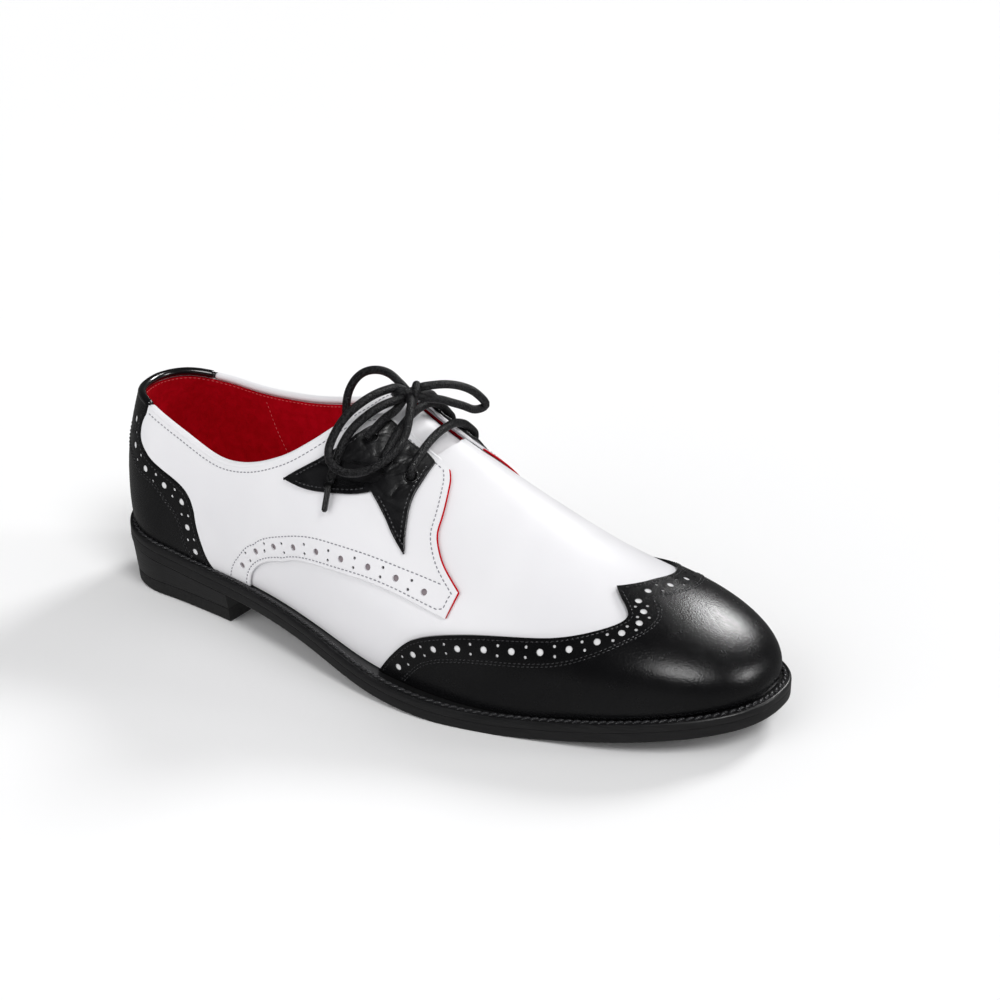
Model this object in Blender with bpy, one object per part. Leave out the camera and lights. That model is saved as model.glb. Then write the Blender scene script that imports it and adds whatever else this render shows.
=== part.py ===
"""Right shoe of a black and white spectator pair, a wing-tip derby with star overlays.

Lengths in the tables and sizes below are millimetres; MM turns them into metres.
X runs towards the toe, the outer (lateral) side is -Y, +Z is up. The tables measure X from
the back of the heel, and add_mesh moves the origin to the floor under the heel's centre.
The shoe rests on its heel and on a flat spot under the ball, both at z = 0.
"""
import bpy
import bmesh
import numpy as np
from math import pi
from mathutils import Vector
from mathutils.geometry import delaunay_2d_cdt

MM = 0.001
LATERAL = -1
MEDIAL = 1

# Driving sizes
LENGTH = 305.0
BALL_WIDTH = 105.0        # sole, across its widest place
INSTEP_HEIGHT = 101.0     # top of the upper at 46 % of the length
HEEL_HEIGHT = 21.9        # floor to the underside of the outsole, at the back
WALL = 1.8                # vamp leather with its lining
LEATHER = 1.0             # a quarter, the counter, the wing tip or a star
LIFT = 6.2                # top piece under the heel
SOLE_EDGE = 7.6           # outsole and welt together
WELT_THICK = 3.2
WELT_WIDTH = 5.5
HEEL_WELT_WIDTH = 4.0
TOE_FEATHER = 6.0         # from the sole's front to the upper's
FEATHER_TUCK = 0.3        # the upper's foot is at least this far inside its bulge
MESH_STEP = 8.4           # between points of a panel
CLOSE_STEP = 6.4          # the same where the form turns fast
GAP = 0.3                 # between pieces that lie on each other
CURVED_GAP = 0.4          # the same where both are curved
LACE_RADIUS = 1.7

# Places along the shoe
HEEL_CENTRE = 0.1115 * LENGTH
TOE_START = 0.80 * LENGTH
UPPER_FRONT = LENGTH - TOE_FEATHER
TIP_Y = 9.5 * BALL_WIDTH / 105.0
HEEL_RUN = 0.164 * LENGTH
BODY_END = HEEL_RUN + TOE_START - HEEL_CENTRE
TOE_END = BODY_END + (UPPER_FRONT - TOE_START) * pi / 2
BREAST = 0.234 * LENGTH
HEEL_POWER = 2.35         # how square the heel is at the welt
COLLAR_POWER = 2.0        # and at the collar
TOE_POWER = 2.3
FEATHER_SHARE = 0.28      # part of a section that is the bulge above the welt

# Sole half widths: share of length, lateral, medial (shares of the ball width)
SOLE_TABLE = np.array([
    (0.085, 0.332, 0.319),
    (0.1115, 0.333, 0.319),
    (0.18, 0.347, 0.321),
    (0.25, 0.371, 0.316),
    (0.34, 0.421, 0.303),
    (0.42, 0.476, 0.324),
    (0.52, 0.535, 0.395),
    (0.60, 0.547, 0.452),
    (0.68, 0.510, 0.481),
    (0.76, 0.448, 0.476),
    (0.84, 0.385, 0.463),
    (0.92, 0.339, 0.438),
    (1.00, 0.314, 0.405),
])

# Underside of the outsole: share of length, height (shares of the heel height).
# Below zero it is cut by the floor, which makes the flat spot under the ball.
UNDER_TABLE = np.array([
    (0.00, 1.000),
    (0.11, 0.750),
    (0.25, 0.612),
    (0.34, 0.539),
    (0.42, 0.393),
    (0.50, 0.164),
    (0.58, 0.040),
    (0.66, -0.015),
    (0.74, 0.030),
    (0.82, 0.155),
    (0.92, 0.356),
    (1.00, 0.511),
])

# Sections of the upper: share of length, lateral and medial half widths (shares of the
# ball width), height of the bulge and of the crown (shares of the instep height), crown
# off the middle, fullness of the side and of the top.
UPPER_TABLE = np.array([
    (0.085, 0.309, 0.282, 0.495, 1.267, 0.0, 0.55, 0.22),
    (0.1115, 0.310, 0.282, 0.495, 1.267, 0.0, 0.55, 0.22),
    (0.25, 0.341, 0.300, 0.436, 1.277, 0.0, 0.55, 0.45),
    (0.36, 0.390, 0.322, 0.396, 1.198, 1.0, 0.55, 0.40),
    (0.46, 0.443, 0.357, 0.356, 1.000, 3.0, 0.50, 0.36),
    (0.56, 0.471, 0.414, 0.307, 0.822, 5.0, 0.48, 0.38),
    (0.66, 0.457, 0.436, 0.277, 0.668, 6.0, 0.50, 0.42),
    (0.76, 0.405, 0.432, 0.267, 0.540, 6.5, 0.55, 0.48),
    (0.86, 0.357, 0.410, 0.267, 0.468, 7.0, 0.60, 0.52),
    (1.00, 0.295, 0.390, 0.267, 0.386, 7.5, 0.62, 0.55),
])
BACK_FEATHER = 4.0
BACK_BULGE = 1.8
BACK_BULGE_HEIGHT = 0.455 * INSTEP_HEIGHT
BACK_CROWN = 1.307 * INSTEP_HEIGHT
BACK_SIDE = 0.50
BACK_TOP = 0.335

# Lines drawn on the upper: run from the back seam (share of length) and height round the
# section (0 at the welt, 1 at the crown).
COLLAR = np.array([
    (0.000, 0.519), (0.066, 0.516), (0.144, 0.497), (0.177, 0.476), (0.213, 0.458),
    (0.246, 0.445), (0.282, 0.441), (0.315, 0.452), (0.348, 0.474), (0.380, 0.508),
    (0.407, 0.550), (0.430, 0.604), (0.445, 0.650), (0.462, 0.715), (0.482, 0.790),
    (0.505, 0.860),
])
COLLAR_MEDIAL = np.array([
    (0.000, 0.519), (0.066, 0.506), (0.105, 0.486), (0.144, 0.470), (0.177, 0.464),
    (0.213, 0.465), (0.246, 0.472), (0.282, 0.483), (0.315, 0.498), (0.348, 0.518), (0.380, 0.544),
    (0.407, 0.574), (0.430, 0.612), (0.445, 0.652), (0.462, 0.715), (0.482, 0.790),
    (0.505, 0.860),
])
FACING = [(0.528, 0.860), (0.548, 0.858), (0.570, 0.856), (0.584, 0.858)]
QUARTER_FRONT = [
    (0.597, 0.850), (0.603, 0.829), (0.610, 0.787), (0.617, 0.729), (0.621, 0.683),
    (0.626, 0.633), (0.634, 0.604), (0.648, 0.568), (0.664, 0.540), (0.679, 0.515),
]
QUARTER_TIP = (0.673, 0.410)
QUARTER_ARC = [
    (0.646, 0.412), (0.607, 0.408), (0.557, 0.388), (0.502, 0.350), (0.456, 0.321),
    (0.407, 0.285), (0.374, 0.238), (0.351, 0.183), (0.335, 0.110), (0.328, 0.000),
]
COUNTER_EDGE = [
    (0.133, 0.471), (0.127, 0.450), (0.125, 0.425), (0.129, 0.396), (0.141, 0.372),
    (0.157, 0.351), (0.177, 0.336), (0.198, 0.325), (0.216, 0.311), (0.226, 0.290),
    (0.230, 0.250), (0.233, 0.190), (0.239, 0.129), (0.246, 0.067), (0.257, 0.000),
]
WING_SIDE = [
    (0.574, 0.000), (0.587, 0.096), (0.610, 0.204), (0.636, 0.283), (0.666, 0.333),
    (0.721, 0.400), (0.770, 0.450), (0.803, 0.492), (0.833, 0.558), (0.856, 0.650),
    (0.868, 0.742), (0.868, 0.825), (0.861, 0.871), (0.850, 0.920),
]
WING_PEAK = 0.825
STAR = [
    [(0.400, 0.471), (0.423, 0.478), (0.446, 0.494), (0.466, 0.516), (0.485, 0.541),
     (0.505, 0.571), (0.528, 0.617)],
    [(0.528, 0.617), (0.541, 0.604), (0.561, 0.579), (0.577, 0.555), (0.597, 0.530)],
    [(0.597, 0.530), (0.590, 0.575), (0.584, 0.621), (0.580, 0.662), (0.579, 0.708),
     (0.580, 0.754), (0.581, 0.830)],
    [(0.581, 0.830), (0.570, 0.836), (0.557, 0.831), (0.541, 0.825), (0.528, 0.836),
     (0.510, 0.838)],
    [(0.510, 0.838), (0.500, 0.790), (0.485, 0.717), (0.456, 0.600), (0.439, 0.554),
     (0.420, 0.512), (0.400, 0.471)],
]
EYELETS = [(0.502, 0.745), (0.530, 0.715), (0.566, 0.735)]
EYELET_RADIUS = 2.3
THROAT_FRONT = 0.577
THROAT_EDGE = 0.800
TONGUE = [
    (0.443, 0.640), (0.456, 0.765), (0.466, 0.830), (0.473, 0.910), (0.480, 1.000),
]
TONGUE_FRONT = 0.630
TONGUE_FRONT_EDGE = 0.860


# The lace's free runs, by hand, in millimetres from the back of the heel
KNOT_CENTRE = (142.6, -2.6, 107.9)
KNOT_RADII = (6.0, 5.4, 3.7)
LACE_ROUTES = {
    "lace_loop_outer": [
        (138.7, -7.0, 110.7), (136.0, -14.0, 110.2), (132.6, -21.5, 107.4), (129.4, -27.8, 102.6),
        (127.8, -33.0, 96.4), (128.8, -37.6, 90.8), (133.2, -39.9, 87.4), (139.2, -39.0, 86.1),
        (145.4, -35.4, 87.2), (149.8, -29.6, 90.2), (152.0, -23.0, 94.4), (151.8, -17.4, 98.9),
        (150.4, -13.4, 103.4), (148.8, -10.0, 106.4),
    ],
    "lace_end_outer": [
        (141.6, -9.9, 107.0), (139.0, -13.9, 106.0), (135.4, -20.2, 103.0), (131.9, -26.4, 98.0),
        (130.2, -31.2, 92.0), (129.4, -34.9, 85.2), (129.1, -38.0, 79.4),
    ],
    "lace_strand_outer": [
        (137.0, -24.0, 94.8), (138.8, -20.2, 98.2), (140.0, -15.2, 100.9), (140.8, -10.6, 102.0),
    ],
    "lace_loop_inner": [
        (147.8, 1.0, 110.6), (151.8, 5.8, 110.6), (155.4, 12.4, 108.8), (158.6, 18.2, 105.4),
        (160.6, 22.6, 100.8), (160.8, 24.6, 97.2), (158.6, 22.6, 95.8), (156.2, 17.6, 98.0),
        (153.6, 11.4, 101.4), (151.2, 5.8, 104.2), (149.4, 1.8, 105.4),
    ],
    "lace_end_inner": [
        (136.9, -0.9, 110.5), (132.0, -0.2, 112.8), (126.0, -1.0, 113.6), (120.6, -3.2, 111.8),
        (117.4, -6.0, 107.4), (116.6, -8.6, 102.0), (116.6, -9.6, 96.0), (116.4, -9.8, 92.0),
    ],
    "lace_strand_inner": [
        (137.0, 23.4, 95.4), (139.2, 18.4, 99.2), (140.4, 12.4, 102.2), (140.8, 6.6, 103.4),
    ],
}
AGLETS = {
    "lace_aglet_outer": [(129.1, -38.6, 78.6), (129.0, -42.0, 68.2)],
    "lace_aglet_inner": [(116.4, -9.9, 91.2), (116.2, -10.2, 80.4)],
}
AGLET_RADIUS = 1.2


def spline(xs, ys):
    """Natural cubic through the points, as a function of x."""
    xs = np.asarray(xs, float)
    ys = np.asarray(ys, float)
    count = len(xs)
    step = np.diff(xs)
    matrix = np.eye(count)
    right = np.zeros(count)
    for i in range(1, count - 1):
        matrix[i, i - 1] = step[i - 1]
        matrix[i, i] = 2 * (step[i - 1] + step[i])
        matrix[i, i + 1] = step[i]
        right[i] = 6 * ((ys[i + 1] - ys[i]) / step[i] - (ys[i] - ys[i - 1]) / step[i - 1])
    curve = np.linalg.solve(matrix, right)

    def value(x):
        x = np.clip(np.asarray(x, float), xs[0], xs[-1])
        k = np.clip(np.searchsorted(xs, x) - 1, 0, count - 2)
        before = x - xs[k]
        after = xs[k + 1] - x
        cubic = (curve[k] * after ** 3 + curve[k + 1] * before ** 3) / (6 * step[k])
        line = (ys[k] / step[k] - curve[k] * step[k] / 6) * after
        return cubic + line + (ys[k + 1] / step[k] - curve[k + 1] * step[k] / 6) * before

    return value


def smooth_line(points, count):
    """A smooth open line through the points, evenly spaced."""
    points = np.asarray(points, float)
    along = np.concatenate([[0], np.cumsum(np.linalg.norm(np.diff(points, axis=0), axis=1))])
    curves = [spline(along, column) for column in points.T]
    places = np.linspace(0, along[-1], count)
    return np.stack([curve(places) for curve in curves], axis=1)


def beside(points, distance):
    """The line moved sideways, to the left of its direction, on the map in millimetres."""
    along = np.gradient(points, axis=0)
    along = along / np.linalg.norm(along, axis=1, keepdims=True)
    return points + np.stack([-along[:, 1], along[:, 0]], axis=1) * distance


under_raw = spline(UNDER_TABLE[:, 0] * LENGTH, UNDER_TABLE[:, 1] * HEEL_HEIGHT)
sole_widths = {
    LATERAL: spline(SOLE_TABLE[:, 0] * LENGTH, SOLE_TABLE[:, 1] * BALL_WIDTH),
    MEDIAL: spline(SOLE_TABLE[:, 0] * LENGTH, SOLE_TABLE[:, 2] * BALL_WIDTH),
}
UPPER_UNITS = [BALL_WIDTH, BALL_WIDTH, INSTEP_HEIGHT, INSTEP_HEIGHT, 1.0, 1.0, 1.0]
upper_curves = [
    spline(UPPER_TABLE[:, 0] * LENGTH, UPPER_TABLE[:, i + 1] * unit)
    for i, unit in enumerate(UPPER_UNITS)
]


def under(x):
    """Underside of the outsole, flat where it meets the floor."""
    return np.maximum(under_raw(x), 0.0)


def rim(x):
    """Top of the welt."""
    return under_raw(x) + SOLE_EDGE


def round_off(x, start, end, power):
    """1 up to start, then falling to 0 at end like the side of an oval."""
    u = np.clip((x - start) / (end - start), 0, 1)
    return np.maximum(0, 1 - u ** power) ** (1 / power)


def bezier(p0, p1, p2, p3, t):
    return p0 * (1 - t) ** 3 + 3 * p1 * t * (1 - t) ** 2 + 3 * p2 * t * t * (1 - t) + p3 * t ** 3


def polar(a, b, angle, power):
    """Radius of an oval with half axes a (along X) and b (along Y)."""
    a = np.maximum(a, 1e-3)
    b = np.maximum(b, 1e-3)
    return (np.abs(np.cos(angle) / a) ** power + np.abs(np.sin(angle) / b) ** power) ** (-1 / power)


def section(foot, foot_z, bulge, bulge_z, crown_z, side_full, top_full, a):
    """Half a section of the upper: out from the welt to the bulge, then over to the crown."""
    low = np.clip(a / FEATHER_SHARE, 0, 1)
    high = np.clip((a - FEATHER_SHARE) / (1 - FEATHER_SHARE), 0, 1)
    rise = bulge_z - foot_z
    low_r = bezier(foot, foot + 0.75 * (bulge - foot), bulge, bulge, low)
    low_z = bezier(foot_z, foot_z + 0.18 * rise, foot_z + 0.62 * rise, bulge_z, low)
    high_r = bezier(bulge, bulge, top_full * bulge, 0 * bulge, high)
    high_z = bezier(bulge_z, bulge_z + side_full * (crown_z - bulge_z), crown_z, crown_z, high)
    below = a < FEATHER_SHARE
    return np.where(below, low_r, high_r), np.where(below, low_z, high_z)


def upper_point(s, a, side, out=0.0):
    """Point of the upper's form: s mm along from the back seam, a round the section.

    out moves the surface outwards, and a negative value inwards.
    """
    s, a, side = np.broadcast_arrays(
        np.asarray(s, float), np.asarray(a, float), np.asarray(side, float))
    lateral = side < 0
    front = UPPER_FRONT + out
    turn = np.clip((s - BODY_END) / (TOE_END - BODY_END), 0, 1) * pi / 2
    x = np.where(s < BODY_END, HEEL_CENTRE + np.maximum(s - HEEL_RUN, 0),
                 TOE_START + (front - TOE_START) * np.sin(turn))
    lat, med, bulge_z, crown_z, crown_y, side_full, top_full = [c(x) for c in upper_curves]
    sole_half = np.where(lateral, sole_widths[LATERAL](x), sole_widths[MEDIAL](x))
    bulge = np.where(lateral, lat, med)
    welt = HEEL_WELT_WIDTH + (WELT_WIDTH - HEEL_WELT_WIDTH) * np.clip((x / LENGTH - 0.15) / 0.25, 0, 1)
    foot = np.minimum(sole_half - welt, bulge - FEATHER_TUCK) + out
    bulge = bulge + out
    foot_z = rim(x) + GAP
    wide = round_off(x, TOE_START, front, TOE_POWER)
    tall = round_off(x, TOE_START, front, 2.6)
    bulge_t = (bulge - side * TIP_Y) * wide + side * TIP_Y
    foot_t = (foot - side * TIP_Y) * wide + side * TIP_Y
    crown_t = foot_z + (crown_z + out - foot_z) * tall
    bulge_zt = foot_z + (bulge_z - foot_z) * tall
    centre = crown_y * wide + TIP_Y * (1 - wide)
    r, z = section(foot_t - side * centre, foot_z, bulge_t - side * centre, bulge_zt,
                   crown_t, side_full, top_full, a)
    body = np.stack([x, centre + side * r, z], -1)
    angle = pi - np.clip(s / HEEL_RUN, 0, 1) * pi / 2
    lat, med, bulge_z, crown_z, crown_y, side_full, top_full = [c(HEEL_CENTRE) for c in upper_curves]
    half = np.where(lateral, sole_widths[LATERAL](HEEL_CENTRE), sole_widths[MEDIAL](HEEL_CENTRE))
    side_foot = half - HEEL_WELT_WIDTH + out
    back_foot = HEEL_CENTRE - BACK_FEATHER + out
    foot_r = polar(back_foot, side_foot, angle, HEEL_POWER)
    foot_z = rim(HEEL_CENTRE + foot_r * np.cos(angle)) + GAP
    side_r, side_z = section(side_foot, foot_z, np.where(lateral, lat, med) + out,
                             bulge_z, crown_z + out, side_full, top_full, a)
    back_r, back_z = section(back_foot, foot_z, HEEL_CENTRE - BACK_BULGE + out,
                             BACK_BULGE_HEIGHT, BACK_CROWN + out, BACK_SIDE, BACK_TOP, a)
    power = HEEL_POWER + (COLLAR_POWER - HEEL_POWER) * np.clip(a / 0.5, 0, 1)
    r = polar(back_r, side_r, angle, power)
    z = back_z + (side_z - back_z) * np.sin(angle) ** 2
    heel_x = HEEL_CENTRE + r * np.cos(angle)
    heel = np.stack([heel_x, side * r * np.sin(angle), z], -1)
    return np.where((s < HEEL_RUN)[..., None], heel, body)


def sole_point(s, side, inset):
    """Plan point of the sole's outline, inset mm in from its edge."""
    s = np.asarray(s, float)
    width = sole_widths[side]
    angle = pi - np.clip(s / HEEL_RUN, 0, 1) * pi / 2
    r = polar(HEEL_CENTRE - inset, width(HEEL_CENTRE) - inset, angle, HEEL_POWER)
    front = LENGTH - inset
    turn = np.clip((s - BODY_END) / (TOE_END - BODY_END), 0, 1) * pi / 2
    x = np.where(s < BODY_END, HEEL_CENTRE + np.maximum(s - HEEL_RUN, 0),
                 TOE_START + (front - TOE_START) * np.sin(turn))
    wide = round_off(x, TOE_START, front, TOE_POWER)
    y = side * ((width(x) - inset - side * TIP_Y) * wide + side * TIP_Y)
    heel = s < HEEL_RUN
    x = np.where(heel, HEEL_CENTRE + r * np.cos(angle), x)
    y = np.where(heel, side * r * np.sin(angle), y)
    return x, y


def foot_point(s, side, inset):
    """Plan point of the upper's foot, where it meets the welt."""
    point = upper_point(s, 0.0, side, -inset)
    return point[..., 0], point[..., 1]


def material(name, colour, roughness):
    made = bpy.data.materials.new(name)
    made.use_nodes = True
    shader = made.node_tree.nodes["Principled BSDF"]
    shader.inputs["Base Color"].default_value = (*colour, 1.0)
    shader.inputs["Roughness"].default_value = roughness
    return made


def add_mesh(name, points, faces, look):
    """One closed body from points in millimetres, welded where points meet."""
    mesh = bpy.data.meshes.new(name)
    placed = (np.asarray(points) - np.array([HEEL_CENTRE, 0, 0])) * MM
    mesh.from_pydata([tuple(p) for p in placed], [], faces)
    work = bmesh.new()
    work.from_mesh(mesh)
    bmesh.ops.remove_doubles(work, verts=work.verts, dist=2e-6)
    bmesh.ops.dissolve_degenerate(work, edges=work.edges, dist=1e-6)
    bmesh.ops.triangulate(work, faces=work.faces)
    bmesh.ops.recalc_face_normals(work, faces=work.faces)
    work.to_mesh(mesh)
    work.free()
    mesh.shade_smooth()
    mesh.set_sharp_from_angle(angle=0.6)
    mesh.materials.append(look)
    made = bpy.data.objects.new(name, mesh)
    bpy.context.scene.collection.objects.link(made)
    return made


def stations(end=TOE_END):
    """Runs along the sole: closer together round the heel and the toe."""
    parts = [np.linspace(0, HEEL_RUN, 10), np.linspace(HEEL_RUN, BODY_END, 20)[1:],
             np.linspace(BODY_END, TOE_END, 12)[1:]]
    runs = np.concatenate(parts)
    if end < TOE_END:
        runs = np.append(runs[runs < end - 2], end)
    return runs


def ring_points(ring, runs):
    """A closed line round the sole at one inset and height."""
    line, inset, height = ring
    loops = []
    for side in (LATERAL, MEDIAL):
        x, y = line(runs, side, inset)
        loops.append(np.stack([x, y, height(x)], -1))
    return np.concatenate([loops[0], loops[1][::-1]])


def slab(name, rings, look, end=TOE_END, hollow=False):
    """A plate from rings listed upwards; a hollow one is a band whose section they draw."""
    runs = stations(end)
    loops = [ring_points(ring, runs) for ring in rings]
    size = len(loops[0])
    points = np.concatenate(loops)
    faces = []
    for k in range(len(rings) if hollow else len(rings) - 1):
        low = k * size
        high = ((k + 1) % len(rings)) * size
        for i in range(size):
            j = (i + 1) % size
            faces.append((low + i, low + j, high + j, high + i))
    if not hollow:
        top = (len(rings) - 1) * size
        for i in range(len(runs) - 1):
            j = size - 1 - i
            faces.append((i, i + 1, j - 1, j))
            faces.append((top + i, top + j, top + j - 1, top + i + 1))
    return add_mesh(name, points, faces, look)


def densify(points, spacing):
    """Extra points on the straight runs of a closed line."""
    out = []
    for i, start in enumerate(points):
        end = points[(i + 1) % len(points)]
        count = max(1, int(np.ceil(np.hypot(*(end - start)) / spacing - 1e-6)))
        for k in range(count):
            out.append(start + (end - start) * k / count)
    return np.array(out)


def inside(points, loop):
    """Which points lie in a closed line."""
    x = points[:, 0]
    y = points[:, 1]
    hit = np.zeros(len(points), bool)
    for (x0, y0), (x1, y1) in zip(loop, np.roll(loop, -1, axis=0)):
        if y0 == y1:
            continue
        crosses = (y0 > y) != (y1 > y)
        hit ^= crosses & (x < (x1 - x0) * (y - y0) / (y1 - y0) + x0)
    return hit


def panel(name, outline, place, inner, outer, look, spacing=MESH_STEP, holes=(), seams=()):
    """A piece cut to an outline drawn on the upper, between two forms.

    outline and holes are closed lines in the flat map, place turns map points into space
    at a distance out from the upper's form. The map's edges at the seams meet in space,
    so they get no side wall.
    """
    outline = densify(np.asarray(outline, float), spacing)
    loops = [outline] + [np.asarray(hole, float) for hole in holes]
    low = outline.min(axis=0)
    high = outline.max(axis=0)
    grid = []
    row = 0
    for v in np.arange(low[1] + spacing / 2, high[1], spacing * 0.87):
        shift = spacing / 2 if row % 2 else 0.0
        grid += [(u, v) for u in np.arange(low[0] + shift, high[0], spacing)]
        row += 1
    grid = np.array(grid) if grid else np.zeros((0, 2))
    edge = np.concatenate(loops)
    if len(grid):
        near = np.linalg.norm(grid[:, None] - edge[None], axis=2).min(axis=1)
        keep = inside(grid, outline) & (near > spacing * 0.55)
        for hole in loops[1:]:
            keep &= ~inside(grid, hole)
        grid = grid[keep]
    edges = []
    start = 0
    for loop in loops:
        edges += [(start + i, start + (i + 1) % len(loop)) for i in range(len(loop))]
        start += len(loop)
    flat = [Vector(p) for p in np.concatenate([edge, grid])]
    verts, _, tris, _, _, _ = delaunay_2d_cdt(flat, edges, [], 0, 1e-6)
    verts = np.array([(p.x, p.y) for p in verts])
    tris = np.array(tris)
    middle = verts[tris].mean(axis=1)
    keep = inside(middle, outline)
    for hole in loops[1:]:
        keep &= ~inside(middle, hole)
    tris = tris[keep]
    count = len(verts)
    seen = {}
    for a, b, c in tris:
        for p, q in ((a, b), (b, c), (c, a)):
            seen[(p, q)] = True
    faces = [tuple(t) for t in tris]
    faces += [(c + count, b + count, a + count) for a, b, c in tris]
    for p, q in seen:
        on_seam = any(abs(verts[[p, q], 0] - u).max() < 1e-4 for u in seams)
        if (q, p) not in seen and not on_seam:
            faces.append((p, p + count, q + count, q))
    points = np.concatenate([place(verts, outer), place(verts, inner)])
    return add_mesh(name, points, faces, look)


# The flat map measures about a millimetre both ways. One map opens at the crown's middle
# line, for pieces on one or both sides; the other opens at the back seam.
GIRTH = 105.0 * INSTEP_HEIGHT / 101.0


def half_girths(runs):
    """Length of half a section, welt to crown, as the mean of both sides."""
    total = 0
    for side in (LATERAL, MEDIAL):
        around = upper_point(runs[:, None], np.linspace(0, 1, 24)[None, :], side)
        total = total + np.linalg.norm(np.diff(around, axis=1), axis=2).sum(axis=1)
    return np.maximum(total / 2, 0.01)


GIRTH_RUNS = np.linspace(0, TOE_END, 80)
GIRTH_LENGTHS = half_girths(GIRTH_RUNS)


def half_girth(s):
    return np.interp(s, GIRTH_RUNS, GIRTH_LENGTHS)


def across(points):
    """Map with v = 0 at the crown and the half girth at the welt, negative on the lateral side."""
    points = np.asarray(points, float)
    s = points[..., 0] * LENGTH
    return np.stack([s, points[..., 1] * half_girth(s)], -1)


def place_across(points, out):
    side = np.where(points[:, 1] < 0, LATERAL, MEDIAL)
    a = 1 - np.abs(points[:, 1]) / half_girth(points[:, 0])
    return upper_point(points[:, 0], a, side, out)


def place_heel(points, out):
    side = np.where(points[:, 0] < 0, LATERAL, MEDIAL)
    return upper_point(np.abs(points[:, 0]), points[:, 1] / GIRTH, side, out)


def place_side(side):
    def place(points, out):
        return upper_point(points[:, 0], points[:, 1] / GIRTH, np.full(len(points), side), out)
    return place


collar_heights = {
    LATERAL: spline(COLLAR[:, 0], COLLAR[:, 1]),
    MEDIAL: spline(COLLAR_MEDIAL[:, 0], COLLAR_MEDIAL[:, 1]),
}
COLLAR_END = COLLAR[-1, 0]
ROLL_ROOM = 0.021         # the leather's edge lies this far below the top of the rolled edge
EDGE_DROP = 0.004         # the counter's front edge starts this far below the leather's
ROLL_ENDS = (0.132, 0.104)  # ends of the black roll, lateral and medial


def collar_line(side, start, end, count, drop):
    t = np.linspace(start, end, count)
    return np.stack([t, collar_heights[side](t) - drop], axis=1)


def counter_edge(side, count):
    """The counter's front edge, from just under the rolled edge down to the welt."""
    line = smooth_line(COUNTER_EDGE, count)
    below = line[:, 1] < collar_heights[side](line[:, 0]) - ROLL_ROOM - EDGE_DROP
    return line[np.argmax(below):]


def hole_loops(side_sign):
    """The eyelets as closed lines, in the across map or on one side."""
    loops = []
    turn = np.linspace(0, 2 * pi, 8, endpoint=False)
    for t, a in EYELETS:
        u = t * LENGTH + EYELET_RADIUS * np.cos(turn)
        v = a * GIRTH + EYELET_RADIUS * np.sin(turn)
        if side_sign:
            v = side_sign * (1 - v / GIRTH) * half_girth(u)
        loops.append(np.stack([u, v], axis=1))
    return loops


def upper(look):
    throat = np.array([(COLLAR_END + 0.012, THROAT_EDGE), (0.545, THROAT_EDGE),
                       (THROAT_FRONT - 0.008, THROAT_EDGE + 0.02), (THROAT_FRONT, 0.90)])
    edges = {}
    for side in (LATERAL, MEDIAL):
        collar = collar_line(side, 0.0, COLLAR_END, 26, ROLL_ROOM)
        edges[side] = np.concatenate([collar[collar[:, 1] < THROAT_EDGE - 0.02], throat])
    end = TOE_END / LENGTH
    lateral = [(t, a - 1) for t, a in edges[LATERAL]]
    medial = [(t, 1 - a) for t, a in edges[MEDIAL][::-1]]
    welt_line = np.linspace(0, end, 44)[:-1]
    outline = [*lateral, (THROAT_FRONT + 0.004, 0.0), *medial]
    outline += [(t, 1) for t in welt_line] + [(end, 0)] + [(t, -1) for t in welt_line[::-1]]
    holes = hole_loops(-1) + hole_loops(1)
    return panel("upper", across(outline), place_across, -WALL, 0.0, look, MESH_STEP, holes, (0,))


def tongue(look):
    top = smooth_line(TONGUE, 8)
    lateral = [(t, a - 1) for t, a in top]
    medial = [(t, 1 - a) for t, a in top[-2::-1]]
    foot = TONGUE_FRONT_EDGE - 1
    outline = [*lateral, *medial, (TONGUE_FRONT, -foot), (TONGUE_FRONT, foot)]
    return panel("tongue", across(outline), place_across, -WALL - 3.2, -WALL - 0.7, look)


def quarter(name, side, look):
    scale = np.array([LENGTH, GIRTH])
    edge = beside(counter_edge(side, 19) * scale, CURVED_GAP + 0.1) / scale
    edge[-1, 1] = 0.0
    top = collar_line(side, edge[0, 0] + 0.002, COLLAR_END, 24, ROLL_ROOM)
    front = smooth_line(QUARTER_FRONT, 16)
    arc = smooth_line(QUARTER_ARC, 18)
    outline = np.concatenate([top, FACING, front, [QUARTER_TIP], arc, edge[::-1]])
    inner = CURVED_GAP
    return panel(name, outline * scale, place_side(side), inner, inner + LEATHER, look,
                 MESH_STEP, hole_loops(0))


def heel_counter(look):
    halves = {}
    for side in (LATERAL, MEDIAL):
        edge = counter_edge(side, 19)
        top = collar_line(side, 0.0, edge[0, 0] - 0.002, 8, ROLL_ROOM)
        halves[side] = np.concatenate([top, edge])
    medial = halves[MEDIAL]
    lateral = halves[LATERAL][1:][::-1] * np.array([-1, 1])
    outline = np.concatenate([medial, lateral]) * np.array([LENGTH, GIRTH])
    inner = CURVED_GAP
    return panel("heel_counter", outline, place_heel, inner, inner + LEATHER + 0.3, look,
                 CLOSE_STEP)


def toe_cap(look):
    side = smooth_line(WING_SIDE, 24)
    end = TOE_END / LENGTH
    lateral = [(t, a - 1) for t, a in side]
    medial = [(t, 1 - a) for t, a in side[::-1]]
    welt_line = np.linspace(side[0, 0], end, 34)[1:-1]
    outline = [*lateral, (WING_PEAK, 0.0), *medial]
    outline += [(t, 1) for t in welt_line] + [(end, 0)] + [(t, -1) for t in welt_line[::-1]]
    inner = CURVED_GAP + 0.1
    return panel("toe_cap", across(outline), place_across, inner, inner + LEATHER + 0.1, look,
                 CLOSE_STEP)


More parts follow.
